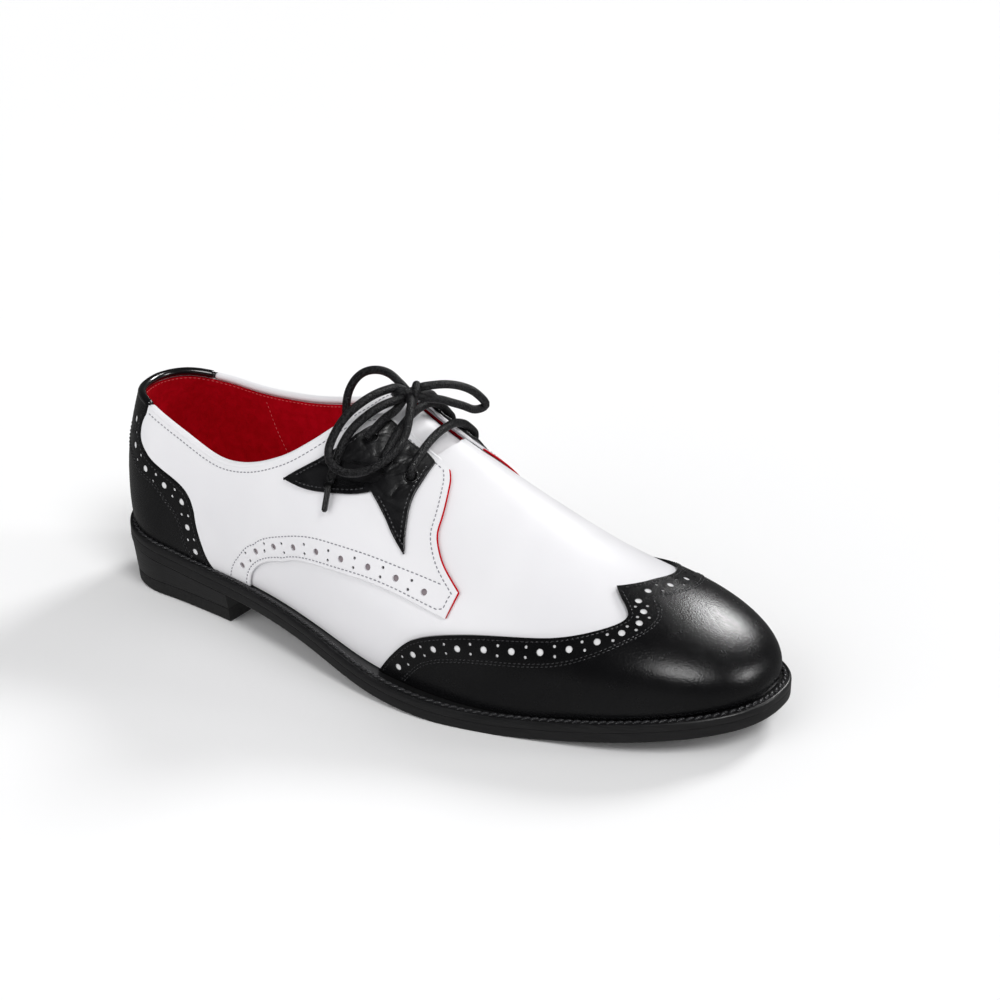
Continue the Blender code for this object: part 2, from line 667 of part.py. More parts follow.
def star(name, side, look):
    sides = [smooth_line(arm, 6)[:-1] for arm in STAR]
    outline = np.concatenate(sides) * np.array([LENGTH, GIRTH])
    inner = 2 * CURVED_GAP + LEATHER
    return panel(name, outline, place_side(side), inner, inner + LEATHER, look,
                 CLOSE_STEP, hole_loops(0))


def sweep(name, centres, ups, outs, half_up, half_out, look, sides=8):
    """A closed roll along a line, oval, with flat ends."""
    turn = np.linspace(0, 2 * pi, sides, endpoint=False)
    rings = [c + up * half_up * np.sin(t) + out * half_out * np.cos(t)
             for c, up, out in zip(centres, ups, outs) for t in turn]
    count = len(centres)
    faces = []
    for i in range(count - 1):
        for k in range(sides):
            m = (k + 1) % sides
            faces.append((i * sides + k, i * sides + m, (i + 1) * sides + m, (i + 1) * sides + k))
    faces.append(tuple(range(sides)))
    faces.append(tuple((count - 1) * sides + k for k in reversed(range(sides))))
    return add_mesh(name, rings, faces, look)


def unit(vectors):
    return vectors / np.linalg.norm(vectors, axis=-1, keepdims=True)


ROLL_HALF_UP = 1.5
ROLL_HALF_OUT = 1.7


def roll(name, signed_runs, look, swell=1.0):
    """Rolled edge of the opening between two signed runs (lateral runs are negative)."""
    side = np.where(signed_runs < 0, LATERAL, MEDIAL)
    t = np.abs(signed_runs)
    a = np.where(side < 0, collar_heights[LATERAL](t), collar_heights[MEDIAL](t)) - ROLL_ROOM
    s = t * LENGTH
    edge = upper_point(s, a, side, -0.2)
    up = unit(upper_point(s, a + 0.02, side, -0.2) - edge)
    along = unit(np.gradient(edge, axis=0))
    up = unit(up - along * np.sum(up * along, axis=1, keepdims=True))
    out = np.cross(along, up)
    centres = edge + up * (ROLL_HALF_UP * swell + GAP)
    return sweep(name, centres, up, out, ROLL_HALF_UP * swell, ROLL_HALF_OUT * swell, look)


def bars(look):
    """The lace between two facing eyelets, over the crown."""
    made = []
    for label, (t, a) in (("lace_bar_middle", EYELETS[1]), ("lace_bar_front", EYELETS[2])):
        reach = half_girth(t * LENGTH) * (1 - a)
        v = np.linspace(-reach, reach, 13)
        flat = np.stack([np.full(13, t * LENGTH), v], axis=1)
        over_star = 2 * CURVED_GAP + 2 * LEATHER + LACE_RADIUS + 0.5
        over_quarter = CURVED_GAP + LEATHER + LACE_RADIUS + 0.5
        share = np.clip(np.abs(v) / (0.6 * reach), 0, 1)
        centres = place_across(flat, over_quarter + (over_star - over_quarter) * share)
        along = unit(np.gradient(centres, axis=0))
        front = np.cross(along, np.array([0.0, 0.0, 1.0]))
        front = unit(front)
        up = np.cross(front, along)
        made.append(sweep(label, centres, up, front, LACE_RADIUS, LACE_RADIUS, look, 8))
    return made


def cord(name, route, radius, look):
    """A tube along a smooth curve through the route's points."""
    length = np.linalg.norm(np.diff(route, axis=0), axis=1).sum()
    path = smooth_line(route, max(4, int(length / (radius * 4)) + 1))
    curve = bpy.data.curves.new(name, "CURVE")
    curve.dimensions = "3D"
    curve.bevel_depth = radius * MM
    curve.bevel_resolution = 2
    curve.use_fill_caps = True
    strand = curve.splines.new("POLY")
    strand.points.add(len(path) - 1)
    for point, place in zip(strand.points, path - np.array([HEEL_CENTRE, 0, 0])):
        point.co = (*(place * MM), 1.0)
    curve.materials.append(look)
    made = bpy.data.objects.new(name, curve)
    bpy.context.scene.collection.objects.link(made)
    return made


def knot(look):
    """The bow's knot, as one rounded lump."""
    work = bmesh.new()
    bmesh.ops.create_icosphere(work, subdivisions=2, radius=1.0)
    points = [tuple(v.co) for v in work.verts]
    faces = [tuple(v.index for v in face.verts) for face in work.faces]
    work.free()
    placed = np.array(points) * np.array(KNOT_RADII) + np.array(KNOT_CENTRE)
    return add_mesh("lace_knot", placed, faces, look)


def laces(look):
    bars(look)
    knot(look)
    for name, route in LACE_ROUTES.items():
        cord(name, np.array(route), LACE_RADIUS, look)
    for name, route in AGLETS.items():
        cord(name, np.array(route), AGLET_RADIUS, look)


def soles(black, rubber, board):
    def at(base, add):
        return lambda x: base(x) + add

    def flat(height):
        return lambda x: np.full(np.shape(x), height)

    welt_low = at(rim, -WELT_THICK)
    inner = WALL + 1.0
    slab("welt", [(sole_point, 0.0, welt_low), (sole_point, 0.0, at(rim, -0.6)),
                  (sole_point, 0.6, rim), (foot_point, inner, rim),
                  (foot_point, inner, welt_low)], black, hollow=True)
    top = at(rim, -WELT_THICK - GAP)
    slab("outsole", [(sole_point, 0.8, under), (sole_point, 0.0, at(under, 0.8)),
                     (sole_point, 0.0, top)], black)
    slab("insole", [(foot_point, inner + GAP, at(rim, -WELT_THICK)),
                    (foot_point, inner + GAP, at(rim, 2.5))], board)
    stack_top = at(under, -GAP)
    slab("heel_stack", [(sole_point, 1.8, flat(LIFT + GAP)), (sole_point, 0.6, stack_top)],
         black, BREAST + HEEL_RUN - HEEL_CENTRE)
    slab("heel_top_piece", [(sole_point, 2.6, flat(0.0)), (sole_point, 2.2, flat(0.5)),
                            (sole_point, 1.9, flat(LIFT))],
         rubber, BREAST + HEEL_RUN - HEEL_CENTRE)


def build():
    for old in list(bpy.data.objects):
        bpy.data.objects.remove(old)
    black = material("black_leather", (0.012, 0.012, 0.013), 0.25)
    white = material("white_leather", (0.83, 0.82, 0.85), 0.45)
    matte = material("black_star_leather", (0.02, 0.02, 0.022), 0.55)
    red = material("red_suede", (0.55, 0.005, 0.02), 0.9)
    edge = material("black_sole", (0.015, 0.015, 0.016), 0.4)
    rubber = material("black_rubber", (0.02, 0.02, 0.02), 0.6)
    lace = material("black_lace", (0.015, 0.015, 0.016), 0.5)
    soles(edge, rubber, red)
    upper(white)
    tongue(white)
    quarter("quarter_lateral", LATERAL, white)
    quarter("quarter_medial", MEDIAL, white)
    heel_counter(black)
    toe_cap(black)
    star("star_lateral", LATERAL, matte)
    star("star_medial", MEDIAL, matte)
    roll("collar_roll_back", np.linspace(-ROLL_ENDS[0], ROLL_ENDS[1], 19), black, 1.12)
    roll("collar_roll_lateral", -np.linspace(ROLL_ENDS[0] + 0.002, COLLAR_END, 24), white)
    roll("collar_roll_medial", np.linspace(ROLL_ENDS[1] + 0.002, COLLAR_END, 25), white)
    laces(lace)


build()
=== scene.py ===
"""Looks of the right spectator shoe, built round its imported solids.

Lengths in the tables are millimetres from the back of the heel, as in the part's source;
MM and HEEL_CENTRE turn them into the row frame's metres.
"""
from math import cos, pi, radians, sin

import bmesh
import bpy
import numpy as np
from mathutils import Matrix, Vector
from mathutils.geometry import delaunay_2d_cdt


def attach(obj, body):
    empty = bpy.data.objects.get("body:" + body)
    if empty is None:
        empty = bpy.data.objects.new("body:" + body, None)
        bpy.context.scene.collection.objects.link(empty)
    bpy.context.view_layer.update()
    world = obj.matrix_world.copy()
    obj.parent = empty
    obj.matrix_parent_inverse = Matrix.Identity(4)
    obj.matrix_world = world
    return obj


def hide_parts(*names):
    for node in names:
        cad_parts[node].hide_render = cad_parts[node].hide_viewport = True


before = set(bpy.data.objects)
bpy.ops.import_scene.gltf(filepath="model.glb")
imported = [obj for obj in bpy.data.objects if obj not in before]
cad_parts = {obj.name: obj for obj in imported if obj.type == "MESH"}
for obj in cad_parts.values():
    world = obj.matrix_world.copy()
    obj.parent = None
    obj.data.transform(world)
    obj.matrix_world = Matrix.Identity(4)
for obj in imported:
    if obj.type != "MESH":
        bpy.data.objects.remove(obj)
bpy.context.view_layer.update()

MM = 0.001
LATERAL = -1
MEDIAL = 1
SIDES = (LATERAL, MEDIAL)

# Driving sizes
LENGTH = 305.0
BALL_WIDTH = 105.0        # sole, across its widest place
INSTEP_HEIGHT = 101.0     # top of the upper at 46 % of the length
HEEL_HEIGHT = 21.9        # floor to the underside of the outsole, at the back
WALL = 1.8                # vamp leather with its lining
LEATHER = 1.0             # a quarter, the counter, the wing tip or a star
LIFT = 6.2                # top piece under the heel
SOLE_EDGE = 7.6           # outsole and welt together
WELT_THICK = 3.2
WELT_WIDTH = 5.5
HEEL_WELT_WIDTH = 4.0
GAP = 0.3                 # between pieces that lie on each other
CURVED_GAP = 0.4          # the same where both are curved
LACE_RADIUS = 1.7

# Places along the shoe
HEEL_CENTRE = 0.1115 * LENGTH
TOE_START = 0.80 * LENGTH
UPPER_FRONT = LENGTH - 6.0
TIP_Y = 9.5 * BALL_WIDTH / 105.0
HEEL_RUN = 0.164 * LENGTH
BODY_END = HEEL_RUN + TOE_START - HEEL_CENTRE
TOE_END = BODY_END + (UPPER_FRONT - TOE_START) * pi / 2
BREAST = 0.234 * LENGTH
HEEL_POWER = 2.35         # how square the heel is at the welt
COLLAR_POWER = 2.0        # and at the collar
TOE_POWER = 2.3           # how square the toe is, seen from above
TOE_TALL_POWER = 2.6      # and from the side
FEATHER_SHARE = 0.28      # part of a section that is the bulge above the welt

# Sole half widths: share of length, lateral, medial (shares of the ball width)
SOLE_TABLE = np.array([
    (0.085, 0.332, 0.319),
    (0.1115, 0.333, 0.319),
    (0.18, 0.347, 0.321),
    (0.25, 0.371, 0.316),
    (0.34, 0.421, 0.303),
    (0.42, 0.476, 0.324),
    (0.52, 0.535, 0.395),
    (0.60, 0.547, 0.452),
    (0.68, 0.510, 0.481),
    (0.76, 0.448, 0.476),
    (0.84, 0.385, 0.463),
    (0.92, 0.339, 0.438),
    (1.00, 0.314, 0.405),
])

# Underside of the outsole: share of length, height (shares of the heel height).
# Below zero it is cut by the floor, which makes the flat spot under the ball.
UNDER_TABLE = np.array([
    (0.00, 1.000),
    (0.11, 0.750),
    (0.25, 0.612),
    (0.34, 0.539),
    (0.42, 0.393),
    (0.50, 0.164),
    (0.58, 0.040),
    (0.66, -0.015),
    (0.74, 0.030),
    (0.82, 0.155),
    (0.92, 0.356),
    (1.00, 0.511),
])

# Sections of the upper: share of length, lateral and medial half widths (shares of the
# ball width), height of the bulge and of the crown (shares of the instep height), crown
# off the middle, fullness of the side and of the top.
UPPER_TABLE = np.array([
    (0.085, 0.309, 0.282, 0.495, 1.267, 0.0, 0.55, 0.22),
    (0.1115, 0.310, 0.282, 0.495, 1.267, 0.0, 0.55, 0.22),
    (0.25, 0.341, 0.300, 0.436, 1.277, 0.0, 0.55, 0.45),
    (0.36, 0.390, 0.322, 0.396, 1.198, 1.0, 0.55, 0.40),
    (0.46, 0.443, 0.357, 0.356, 1.000, 3.0, 0.50, 0.36),
    (0.56, 0.471, 0.414, 0.307, 0.822, 5.0, 0.48, 0.38),
    (0.66, 0.457, 0.436, 0.277, 0.668, 6.0, 0.50, 0.42),
    (0.76, 0.405, 0.432, 0.267, 0.540, 6.5, 0.55, 0.48),
    (0.86, 0.357, 0.410, 0.267, 0.468, 7.0, 0.60, 0.52),
    (1.00, 0.295, 0.390, 0.267, 0.386, 7.5, 0.62, 0.55),
])
BACK_FEATHER = 4.0
BACK_BULGE = 1.8
BACK_BULGE_HEIGHT = 0.455 * INSTEP_HEIGHT
BACK_CROWN = 1.307 * INSTEP_HEIGHT
BACK_SIDE = 0.50
BACK_TOP = 0.335

# Lines drawn on the upper: run from the back seam (share of length) and height round the
# section (0 at the welt, 1 at the crown).
COLLAR = np.array([
    (0.000, 0.519), (0.066, 0.516), (0.144, 0.497), (0.177, 0.476), (0.213, 0.458),
    (0.246, 0.445), (0.282, 0.441), (0.315, 0.452), (0.348, 0.474), (0.380, 0.508),
    (0.407, 0.550), (0.430, 0.604), (0.445, 0.650), (0.462, 0.715), (0.482, 0.790),
    (0.505, 0.860),
])
COLLAR_MEDIAL = np.array([
    (0.000, 0.519), (0.066, 0.506), (0.105, 0.486), (0.144, 0.470), (0.177, 0.464),
    (0.213, 0.465), (0.246, 0.472), (0.282, 0.483), (0.315, 0.498), (0.348, 0.518), (0.380, 0.544),
    (0.407, 0.574), (0.430, 0.612), (0.445, 0.652), (0.462, 0.715), (0.482, 0.790),
    (0.505, 0.860),
])
FACING = [(0.528, 0.860), (0.548, 0.858), (0.570, 0.856), (0.584, 0.858)]
QUARTER_FRONT = [
    (0.597, 0.850), (0.603, 0.829), (0.610, 0.787), (0.617, 0.729), (0.621, 0.683),
    (0.626, 0.633), (0.634, 0.604), (0.648, 0.568), (0.664, 0.540), (0.679, 0.515),
]
QUARTER_TIP = (0.673, 0.410)
QUARTER_ARC = [
    (0.646, 0.412), (0.607, 0.408), (0.557, 0.388), (0.502, 0.350), (0.456, 0.321),
    (0.407, 0.285), (0.374, 0.238), (0.351, 0.183), (0.335, 0.110), (0.328, 0.000),
]
COUNTER_EDGE = [
    (0.133, 0.471), (0.127, 0.450), (0.125, 0.425), (0.129, 0.396), (0.141, 0.372),
    (0.157, 0.351), (0.177, 0.336), (0.198, 0.325), (0.216, 0.311), (0.226, 0.290),
    (0.230, 0.250), (0.233, 0.190), (0.239, 0.129), (0.246, 0.067), (0.257, 0.000),
]
WING_SIDE = [
    (0.574, 0.000), (0.587, 0.096), (0.610, 0.204), (0.636, 0.283), (0.666, 0.333),
    (0.721, 0.400), (0.770, 0.450), (0.803, 0.492), (0.833, 0.558), (0.856, 0.650),
    (0.868, 0.742), (0.868, 0.825), (0.861, 0.871), (0.850, 0.920),
]
WING_PEAK = 0.825
STAR = [
    [(0.400, 0.471), (0.423, 0.478), (0.446, 0.494), (0.466, 0.516), (0.485, 0.541),
     (0.505, 0.571), (0.528, 0.617)],
    [(0.528, 0.617), (0.541, 0.604), (0.561, 0.579), (0.577, 0.555), (0.597, 0.530)],
    [(0.597, 0.530), (0.590, 0.575), (0.584, 0.621), (0.580, 0.662), (0.579, 0.708),
     (0.580, 0.754), (0.581, 0.830)],
    [(0.581, 0.830), (0.570, 0.836), (0.557, 0.831), (0.541, 0.825), (0.528, 0.836),
     (0.510, 0.838)],
    [(0.510, 0.838), (0.500, 0.790), (0.485, 0.717), (0.456, 0.600), (0.439, 0.554),
     (0.420, 0.512), (0.400, 0.471)],
]
EYELETS = [(0.502, 0.745), (0.530, 0.715), (0.566, 0.735)]
EYELET_RADIUS = 2.3
THROAT_FRONT = 0.577
THROAT_EDGE = 0.800
TONGUE = [
    (0.443, 0.640), (0.456, 0.765), (0.466, 0.830), (0.473, 0.910), (0.480, 1.000),
]
TONGUE_FRONT = 0.630
TONGUE_FRONT_EDGE = 0.860


# The lace's free runs, in millimetres from the back of the heel
KNOT_CENTRE = (142.6, -2.6, 107.9)
KNOT_REACH = 13.0         # runs that end nearer than this join the knot
LACE_ROUTES = {
    "lace_loop_outer": [
        (138.7, -7.0, 110.7), (136.0, -14.0, 110.2), (132.6, -21.5, 107.4), (129.4, -27.8, 102.6),
        (127.8, -33.0, 96.4), (128.8, -37.6, 90.8), (133.2, -39.9, 87.4), (139.2, -39.0, 86.1),
        (145.4, -35.4, 87.2), (149.8, -29.6, 90.2), (152.0, -23.0, 94.4), (151.8, -17.4, 98.9),
        (150.4, -13.4, 103.4), (148.8, -10.0, 106.4),
    ],
    "lace_end_outer": [
        (141.6, -9.9, 107.0), (139.0, -13.9, 106.0), (135.4, -20.2, 103.0), (131.9, -26.4, 98.0),
        (130.2, -31.2, 92.0), (129.4, -34.9, 85.2), (129.1, -38.0, 79.4),
    ],
    "lace_strand_outer": [
        (137.0, -24.0, 94.8), (138.8, -20.2, 98.2), (140.0, -15.2, 100.9), (140.8, -10.6, 102.0),
    ],
    "lace_loop_inner": [
        (147.8, 1.0, 110.6), (151.8, 5.8, 110.6), (155.4, 12.4, 108.8), (158.6, 18.2, 105.4),
        (160.6, 22.6, 100.8), (160.8, 24.6, 97.2), (158.6, 22.6, 95.8), (156.2, 17.6, 98.0),
        (153.6, 11.4, 101.4), (151.2, 5.8, 104.2), (149.4, 1.8, 105.4),
    ],
    "lace_end_inner": [
        (136.9, -0.9, 110.5), (132.0, -0.2, 112.8), (126.0, -1.0, 113.6), (120.6, -3.2, 111.8),
        (117.4, -6.0, 107.4), (116.6, -8.6, 102.0), (116.6, -9.6, 96.0), (116.4, -9.8, 92.0),
    ],
    "lace_strand_inner": [
        (137.0, 23.4, 95.4), (139.2, 18.4, 99.2), (140.4, 12.4, 102.2), (140.8, 6.6, 103.4),
    ],
}
AGLETS = {
    "lace_aglet_outer": [(129.1, -38.6, 78.6), (129.0, -42.0, 68.2)],
    "lace_aglet_inner": [(116.4, -9.9, 91.2), (116.2, -10.2, 80.4)],
}
AGLET_RADIUS = 1.2


def spline(xs, ys):
    """Natural cubic through the points, as a function of x."""
    xs = np.asarray(xs, float)
    ys = np.asarray(ys, float)
    count = len(xs)
    step = np.diff(xs)
    matrix = np.eye(count)
    right = np.zeros(count)
    for i in range(1, count - 1):
        matrix[i, i - 1] = step[i - 1]
        matrix[i, i] = 2 * (step[i - 1] + step[i])
        matrix[i, i + 1] = step[i]
        right[i] = 6 * ((ys[i + 1] - ys[i]) / step[i] - (ys[i] - ys[i - 1]) / step[i - 1])
    curve = np.linalg.solve(matrix, right)

    def value(x):
        x = np.clip(np.asarray(x, float), xs[0], xs[-1])
        k = np.clip(np.searchsorted(xs, x) - 1, 0, count - 2)
        before = x - xs[k]
        after = xs[k + 1] - x
        cubic = (curve[k] * after ** 3 + curve[k + 1] * before ** 3) / (6 * step[k])
        line = (ys[k] / step[k] - curve[k] * step[k] / 6) * after
        return cubic + line + (ys[k + 1] / step[k] - curve[k + 1] * step[k] / 6) * before

    return value


def run_lengths(points):
    """Length along a line from its start to each of its points."""
    return np.concatenate([[0], np.cumsum(np.linalg.norm(np.diff(points, axis=0), axis=1))])


def read_at(places, along, points):
    """A line's points at other places along it."""
    return np.stack([np.interp(places, along, column) for column in points.T], axis=1)


def smooth_line(points, count):
    """A smooth open line through the points, evenly spaced."""
    points = np.asarray(points, float)
    along = run_lengths(points)
    places = np.linspace(0, along[-1], count)
    return np.stack([spline(along, column)(places) for column in points.T], axis=1)


def beside(points, distance):
    """The line moved sideways, to the left of its direction, on the map in millimetres."""
    along = np.gradient(points, axis=0)
    along = along / np.linalg.norm(along, axis=1, keepdims=True)
    return points + np.stack([-along[:, 1], along[:, 0]], axis=1) * distance


under_raw = spline(UNDER_TABLE[:, 0] * LENGTH, UNDER_TABLE[:, 1] * HEEL_HEIGHT)
sole_widths = {
    LATERAL: spline(SOLE_TABLE[:, 0] * LENGTH, SOLE_TABLE[:, 1] * BALL_WIDTH),
    MEDIAL: spline(SOLE_TABLE[:, 0] * LENGTH, SOLE_TABLE[:, 2] * BALL_WIDTH),
}
UPPER_UNITS = [BALL_WIDTH, BALL_WIDTH, INSTEP_HEIGHT, INSTEP_HEIGHT, 1.0, 1.0, 1.0]
upper_curves = [
    spline(UPPER_TABLE[:, 0] * LENGTH, UPPER_TABLE[:, i + 1] * unit)
    for i, unit in enumerate(UPPER_UNITS)
]


def under(x):
    """Underside of the outsole, flat where it meets the floor."""
    return np.maximum(under_raw(x), 0.0)


def rim(x):
    """Top of the welt."""
    return under_raw(x) + SOLE_EDGE


def round_off(x, start, end, power):
    """1 up to start, then falling to 0 at end like the side of an oval."""
    u = np.clip((x - start) / (end - start), 0, 1)
    return np.maximum(0, 1 - u ** power) ** (1 / power)


def bezier(p0, p1, p2, p3, t):
    return p0 * (1 - t) ** 3 + 3 * p1 * t * (1 - t) ** 2 + 3 * p2 * t * t * (1 - t) + p3 * t ** 3


def polar(a, b, angle, power):
    """Radius of an oval with half axes a (along X) and b (along Y)."""
    a = np.maximum(a, 1e-3)
    b = np.maximum(b, 1e-3)
    total = np.abs(np.cos(angle) / a) ** power + np.abs(np.sin(angle) / b) ** power
    return total ** (-1 / power)


def section(foot, foot_z, bulge, bulge_z, crown_z, side_full, top_full, a):
    """Half a section of the upper: out from the welt to the bulge, then over to the crown."""
    low = np.clip(a / FEATHER_SHARE, 0, 1)
    high = np.clip((a - FEATHER_SHARE) / (1 - FEATHER_SHARE), 0, 1)
    rise = bulge_z - foot_z
    low_r = bezier(foot, foot + 0.75 * (bulge - foot), bulge, bulge, low)
    low_z = bezier(foot_z, foot_z + 0.18 * rise, foot_z + 0.62 * rise, bulge_z, low)
    high_r = bezier(bulge, bulge, top_full * bulge, 0 * bulge, high)
    high_z = bezier(bulge_z, bulge_z + side_full * (crown_z - bulge_z), crown_z, crown_z, high)
    below = a < FEATHER_SHARE
    return np.where(below, low_r, high_r), np.where(below, low_z, high_z)


def place_along(s, front):
    """Distance from the back of the heel at s mm along, with the toe's front at front."""
    turn = np.clip((s - BODY_END) / (TOE_END - BODY_END), 0, 1) * pi / 2
    return np.where(s < BODY_END, HEEL_CENTRE + np.maximum(s - HEEL_RUN, 0),
                    TOE_START + (front - TOE_START) * np.sin(turn))


def heel_angle(s):
    return pi - np.clip(s / HEEL_RUN, 0, 1) * pi / 2


def welt_width(x):
    share = np.clip((x / LENGTH - 0.15) / 0.25, 0, 1)
    return HEEL_WELT_WIDTH + (WELT_WIDTH - HEEL_WELT_WIDTH) * share


def upper_sizes(x, side):
    """The tables' values at x: half widths of sole and bulge, then heights and fullness."""
    lat, med, *others = [curve(x) for curve in upper_curves]
    sole = np.where(side < 0, sole_widths[LATERAL](x), sole_widths[MEDIAL](x))
    return [sole, np.where(side < 0, lat, med), *others]


def upper_point(s, a, side, out=0.0):
    """Point of the upper's form: s mm along from the back seam, a round the section.

    out moves the surface outwards, and a negative value inwards.
    """
    s, a, side = np.broadcast_arrays(
        np.asarray(s, float), np.asarray(a, float), np.asarray(side, float))
    front = UPPER_FRONT + out
    x = place_along(s, front)
    sole, bulge, bulge_z, crown_z, crown_y, side_full, top_full = upper_sizes(x, side)
    foot = np.minimum(sole - welt_width(x), bulge - 0.3) + out
    bulge = bulge + out
    foot_z = rim(x) + GAP
    wide = round_off(x, TOE_START, front, TOE_POWER)
    tall = round_off(x, TOE_START, front, TOE_TALL_POWER)
    bulge_t = (bulge - side * TIP_Y) * wide + side * TIP_Y
    foot_t = (foot - side * TIP_Y) * wide + side * TIP_Y
    crown_t = foot_z + (crown_z + out - foot_z) * tall
    bulge_zt = foot_z + (bulge_z - foot_z) * tall
    centre = crown_y * wide + TIP_Y * (1 - wide)
    r, z = section(foot_t - side * centre, foot_z, bulge_t - side * centre, bulge_zt,
                   crown_t, side_full, top_full, a)
    body = np.stack([x, centre + side * r, z], -1)
    angle = heel_angle(s)
    sole, bulge, bulge_z, crown_z, crown_y, side_full, top_full = upper_sizes(HEEL_CENTRE, side)
    side_foot = sole - HEEL_WELT_WIDTH + out
    back_foot = HEEL_CENTRE - BACK_FEATHER + out
    foot_r = polar(back_foot, side_foot, angle, HEEL_POWER)
    foot_z = rim(HEEL_CENTRE + foot_r * np.cos(angle)) + GAP
    side_r, side_z = section(side_foot, foot_z, bulge + out, bulge_z, crown_z + out,
                             side_full, top_full, a)
    back_r, back_z = section(back_foot, foot_z, HEEL_CENTRE - BACK_BULGE + out,
                             BACK_BULGE_HEIGHT, BACK_CROWN + out, BACK_SIDE, BACK_TOP, a)
    power = HEEL_POWER + (COLLAR_POWER - HEEL_POWER) * np.clip(a / 0.5, 0, 1)
    r = polar(back_r, side_r, angle, power)
    z = back_z + (side_z - back_z) * np.sin(angle) ** 2
    heel = np.stack([HEEL_CENTRE + r * np.cos(angle), side * r * np.sin(angle), z], -1)
    return np.where((s < HEEL_RUN)[..., None], heel, body)


def sole_point(s, side, inset):
    """Plan point of the sole's outline, inset mm in from its edge."""
    s = np.asarray(s, float)
    width = sole_widths[side]
    angle = heel_angle(s)
    r = polar(HEEL_CENTRE - inset, width(HEEL_CENTRE) - inset, angle, HEEL_POWER)
    front = LENGTH - inset
    x = place_along(s, front)
    wide = round_off(x, TOE_START, front, TOE_POWER)
    y = side * ((width(x) - inset - side * TIP_Y) * wide + side * TIP_Y)
    heel = s < HEEL_RUN
    return (np.where(heel, HEEL_CENTRE + r * np.cos(angle), x),
            np.where(heel, side * r * np.sin(angle), y))


def foot_point(s, side, inset):
    """Plan point of the upper's foot, where it meets the welt."""
    point = upper_point(s, 0.0, side, -inset)
    return point[..., 0], point[..., 1]


def ring_points(runs, inset, base, height, line=sole_point):
    """A closed line round the sole at one inset, at a height over a base."""
    loops = []
    for side in SIDES:
        x, y = line(runs, side, inset)
        loops.append(np.stack([x, y, base(x) + height], -1))
    return np.concatenate([loops[0], loops[1][::-1]])


GIRTH = 105.0 * INSTEP_HEIGHT / 101.0


def half_girths(runs):
    """Length of half a section, welt to crown, as the mean of both sides."""
    total = 0
    for side in SIDES:
        around = upper_point(runs[:, None], np.linspace(0, 1, 24)[None, :], side)
        total = total + np.linalg.norm(np.diff(around, axis=1), axis=2).sum(axis=1)
    return np.maximum(total / 2, 0.01)


GIRTH_RUNS = np.linspace(0, TOE_END, 80)
GIRTH_LENGTHS = half_girths(GIRTH_RUNS)


def half_girth(s):
    return np.interp(s, GIRTH_RUNS, GIRTH_LENGTHS)


def across(points):
    """Map with v = 0 at the crown and the half girth at the welt, negative on the lateral side."""
    points = np.asarray(points, float)
    s = points[..., 0] * LENGTH
    return np.stack([s, points[..., 1] * half_girth(s)], -1)


def place_across(points, out):
    side = np.where(points[:, 1] < 0, LATERAL, MEDIAL)
    a = 1 - np.abs(points[:, 1]) / half_girth(points[:, 0])
    return upper_point(points[:, 0], a, side, out)


def place_heel(points, out):
    """Both sides in one map, the lateral side's run being negative."""
    side = np.where(points[:, 0] < 0, LATERAL, MEDIAL)
    return upper_point(np.abs(points[:, 0]), points[:, 1] / GIRTH, side, out)


def place_side(side):
    def place(points, out):
        return upper_point(points[:, 0], points[:, 1] / GIRTH, np.full(len(points), side), out)
    return place


collar_heights = {
    LATERAL: spline(COLLAR[:, 0], COLLAR[:, 1]),
    MEDIAL: spline(COLLAR_MEDIAL[:, 0], COLLAR_MEDIAL[:, 1]),
}
COLLAR_END = COLLAR[-1, 0]
ROLL_ROOM = 0.021         # the leather's edge lies this far below the top of the rolled edge
EDGE_DROP = 0.004         # the counter's front edge starts this far below the leather's
ROLL_ENDS = (0.132, 0.104)  # ends of the black roll, lateral and medial


def collar_line(side, start, end, count, drop):
    t = np.linspace(start, end, count)
    return np.stack([t, collar_heights[side](t) - drop], axis=1)


def counter_edge(side, count):
    """The counter's front edge, from just under the rolled edge down to the welt."""
    line = smooth_line(COUNTER_EDGE, count)
    below = line[:, 1] < collar_heights[side](line[:, 0]) - ROLL_ROOM - EDGE_DROP
    return line[np.argmax(below):]


ROLL_HALF_UP = 1.5
ROLL_LAP = 0.012          # how far the outer leather goes up into the rolled edge
ROLL_HALF_OUT = 1.7


def unit(vectors):
    return vectors / np.linalg.norm(vectors, axis=-1, keepdims=True)


# Camera: the photograph's own view of this shoe
VIEW_AZIMUTH = 32.67
VIEW_ELEVATION = 24.74
VIEW_DISTANCE = 0.7981
VIEW_TARGET = (0.150, 0.0, 0.040)
VIEW_SHIFT = (0.03064, 0.02138)
LENS = 70.53
PRINCIPAL = (-0.006, -0.003)


def in_scene(name, data):
    """A new object in the scene."""
    made = bpy.data.objects.new(name, data)
    bpy.context.scene.collection.objects.link(made)
    return made


def make_camera():
    a = radians(VIEW_AZIMUTH)
    e = radians(VIEW_ELEVATION)
    back = Vector((sin(a) * cos(e), -cos(a) * cos(e), sin(e)))
    right = Vector((cos(a), sin(a), 0))
    up = back.cross(right)
    data = bpy.data.cameras.new("camera")
    data.lens = LENS
    data.sensor_width = 36.0
    data.shift_x, data.shift_y = PRINCIPAL
    target = Vector(VIEW_TARGET) - Vector((HEEL_CENTRE * MM, 0, 0))
    place = target + back * VIEW_DISTANCE + right * VIEW_SHIFT[0] + up * VIEW_SHIFT[1]
    camera = in_scene("camera", data)
    turned = Matrix((right, up, back)).transposed().to_4x4()
    camera.matrix_world = Matrix.Translation(place) @ turned
    bpy.context.scene.camera = camera


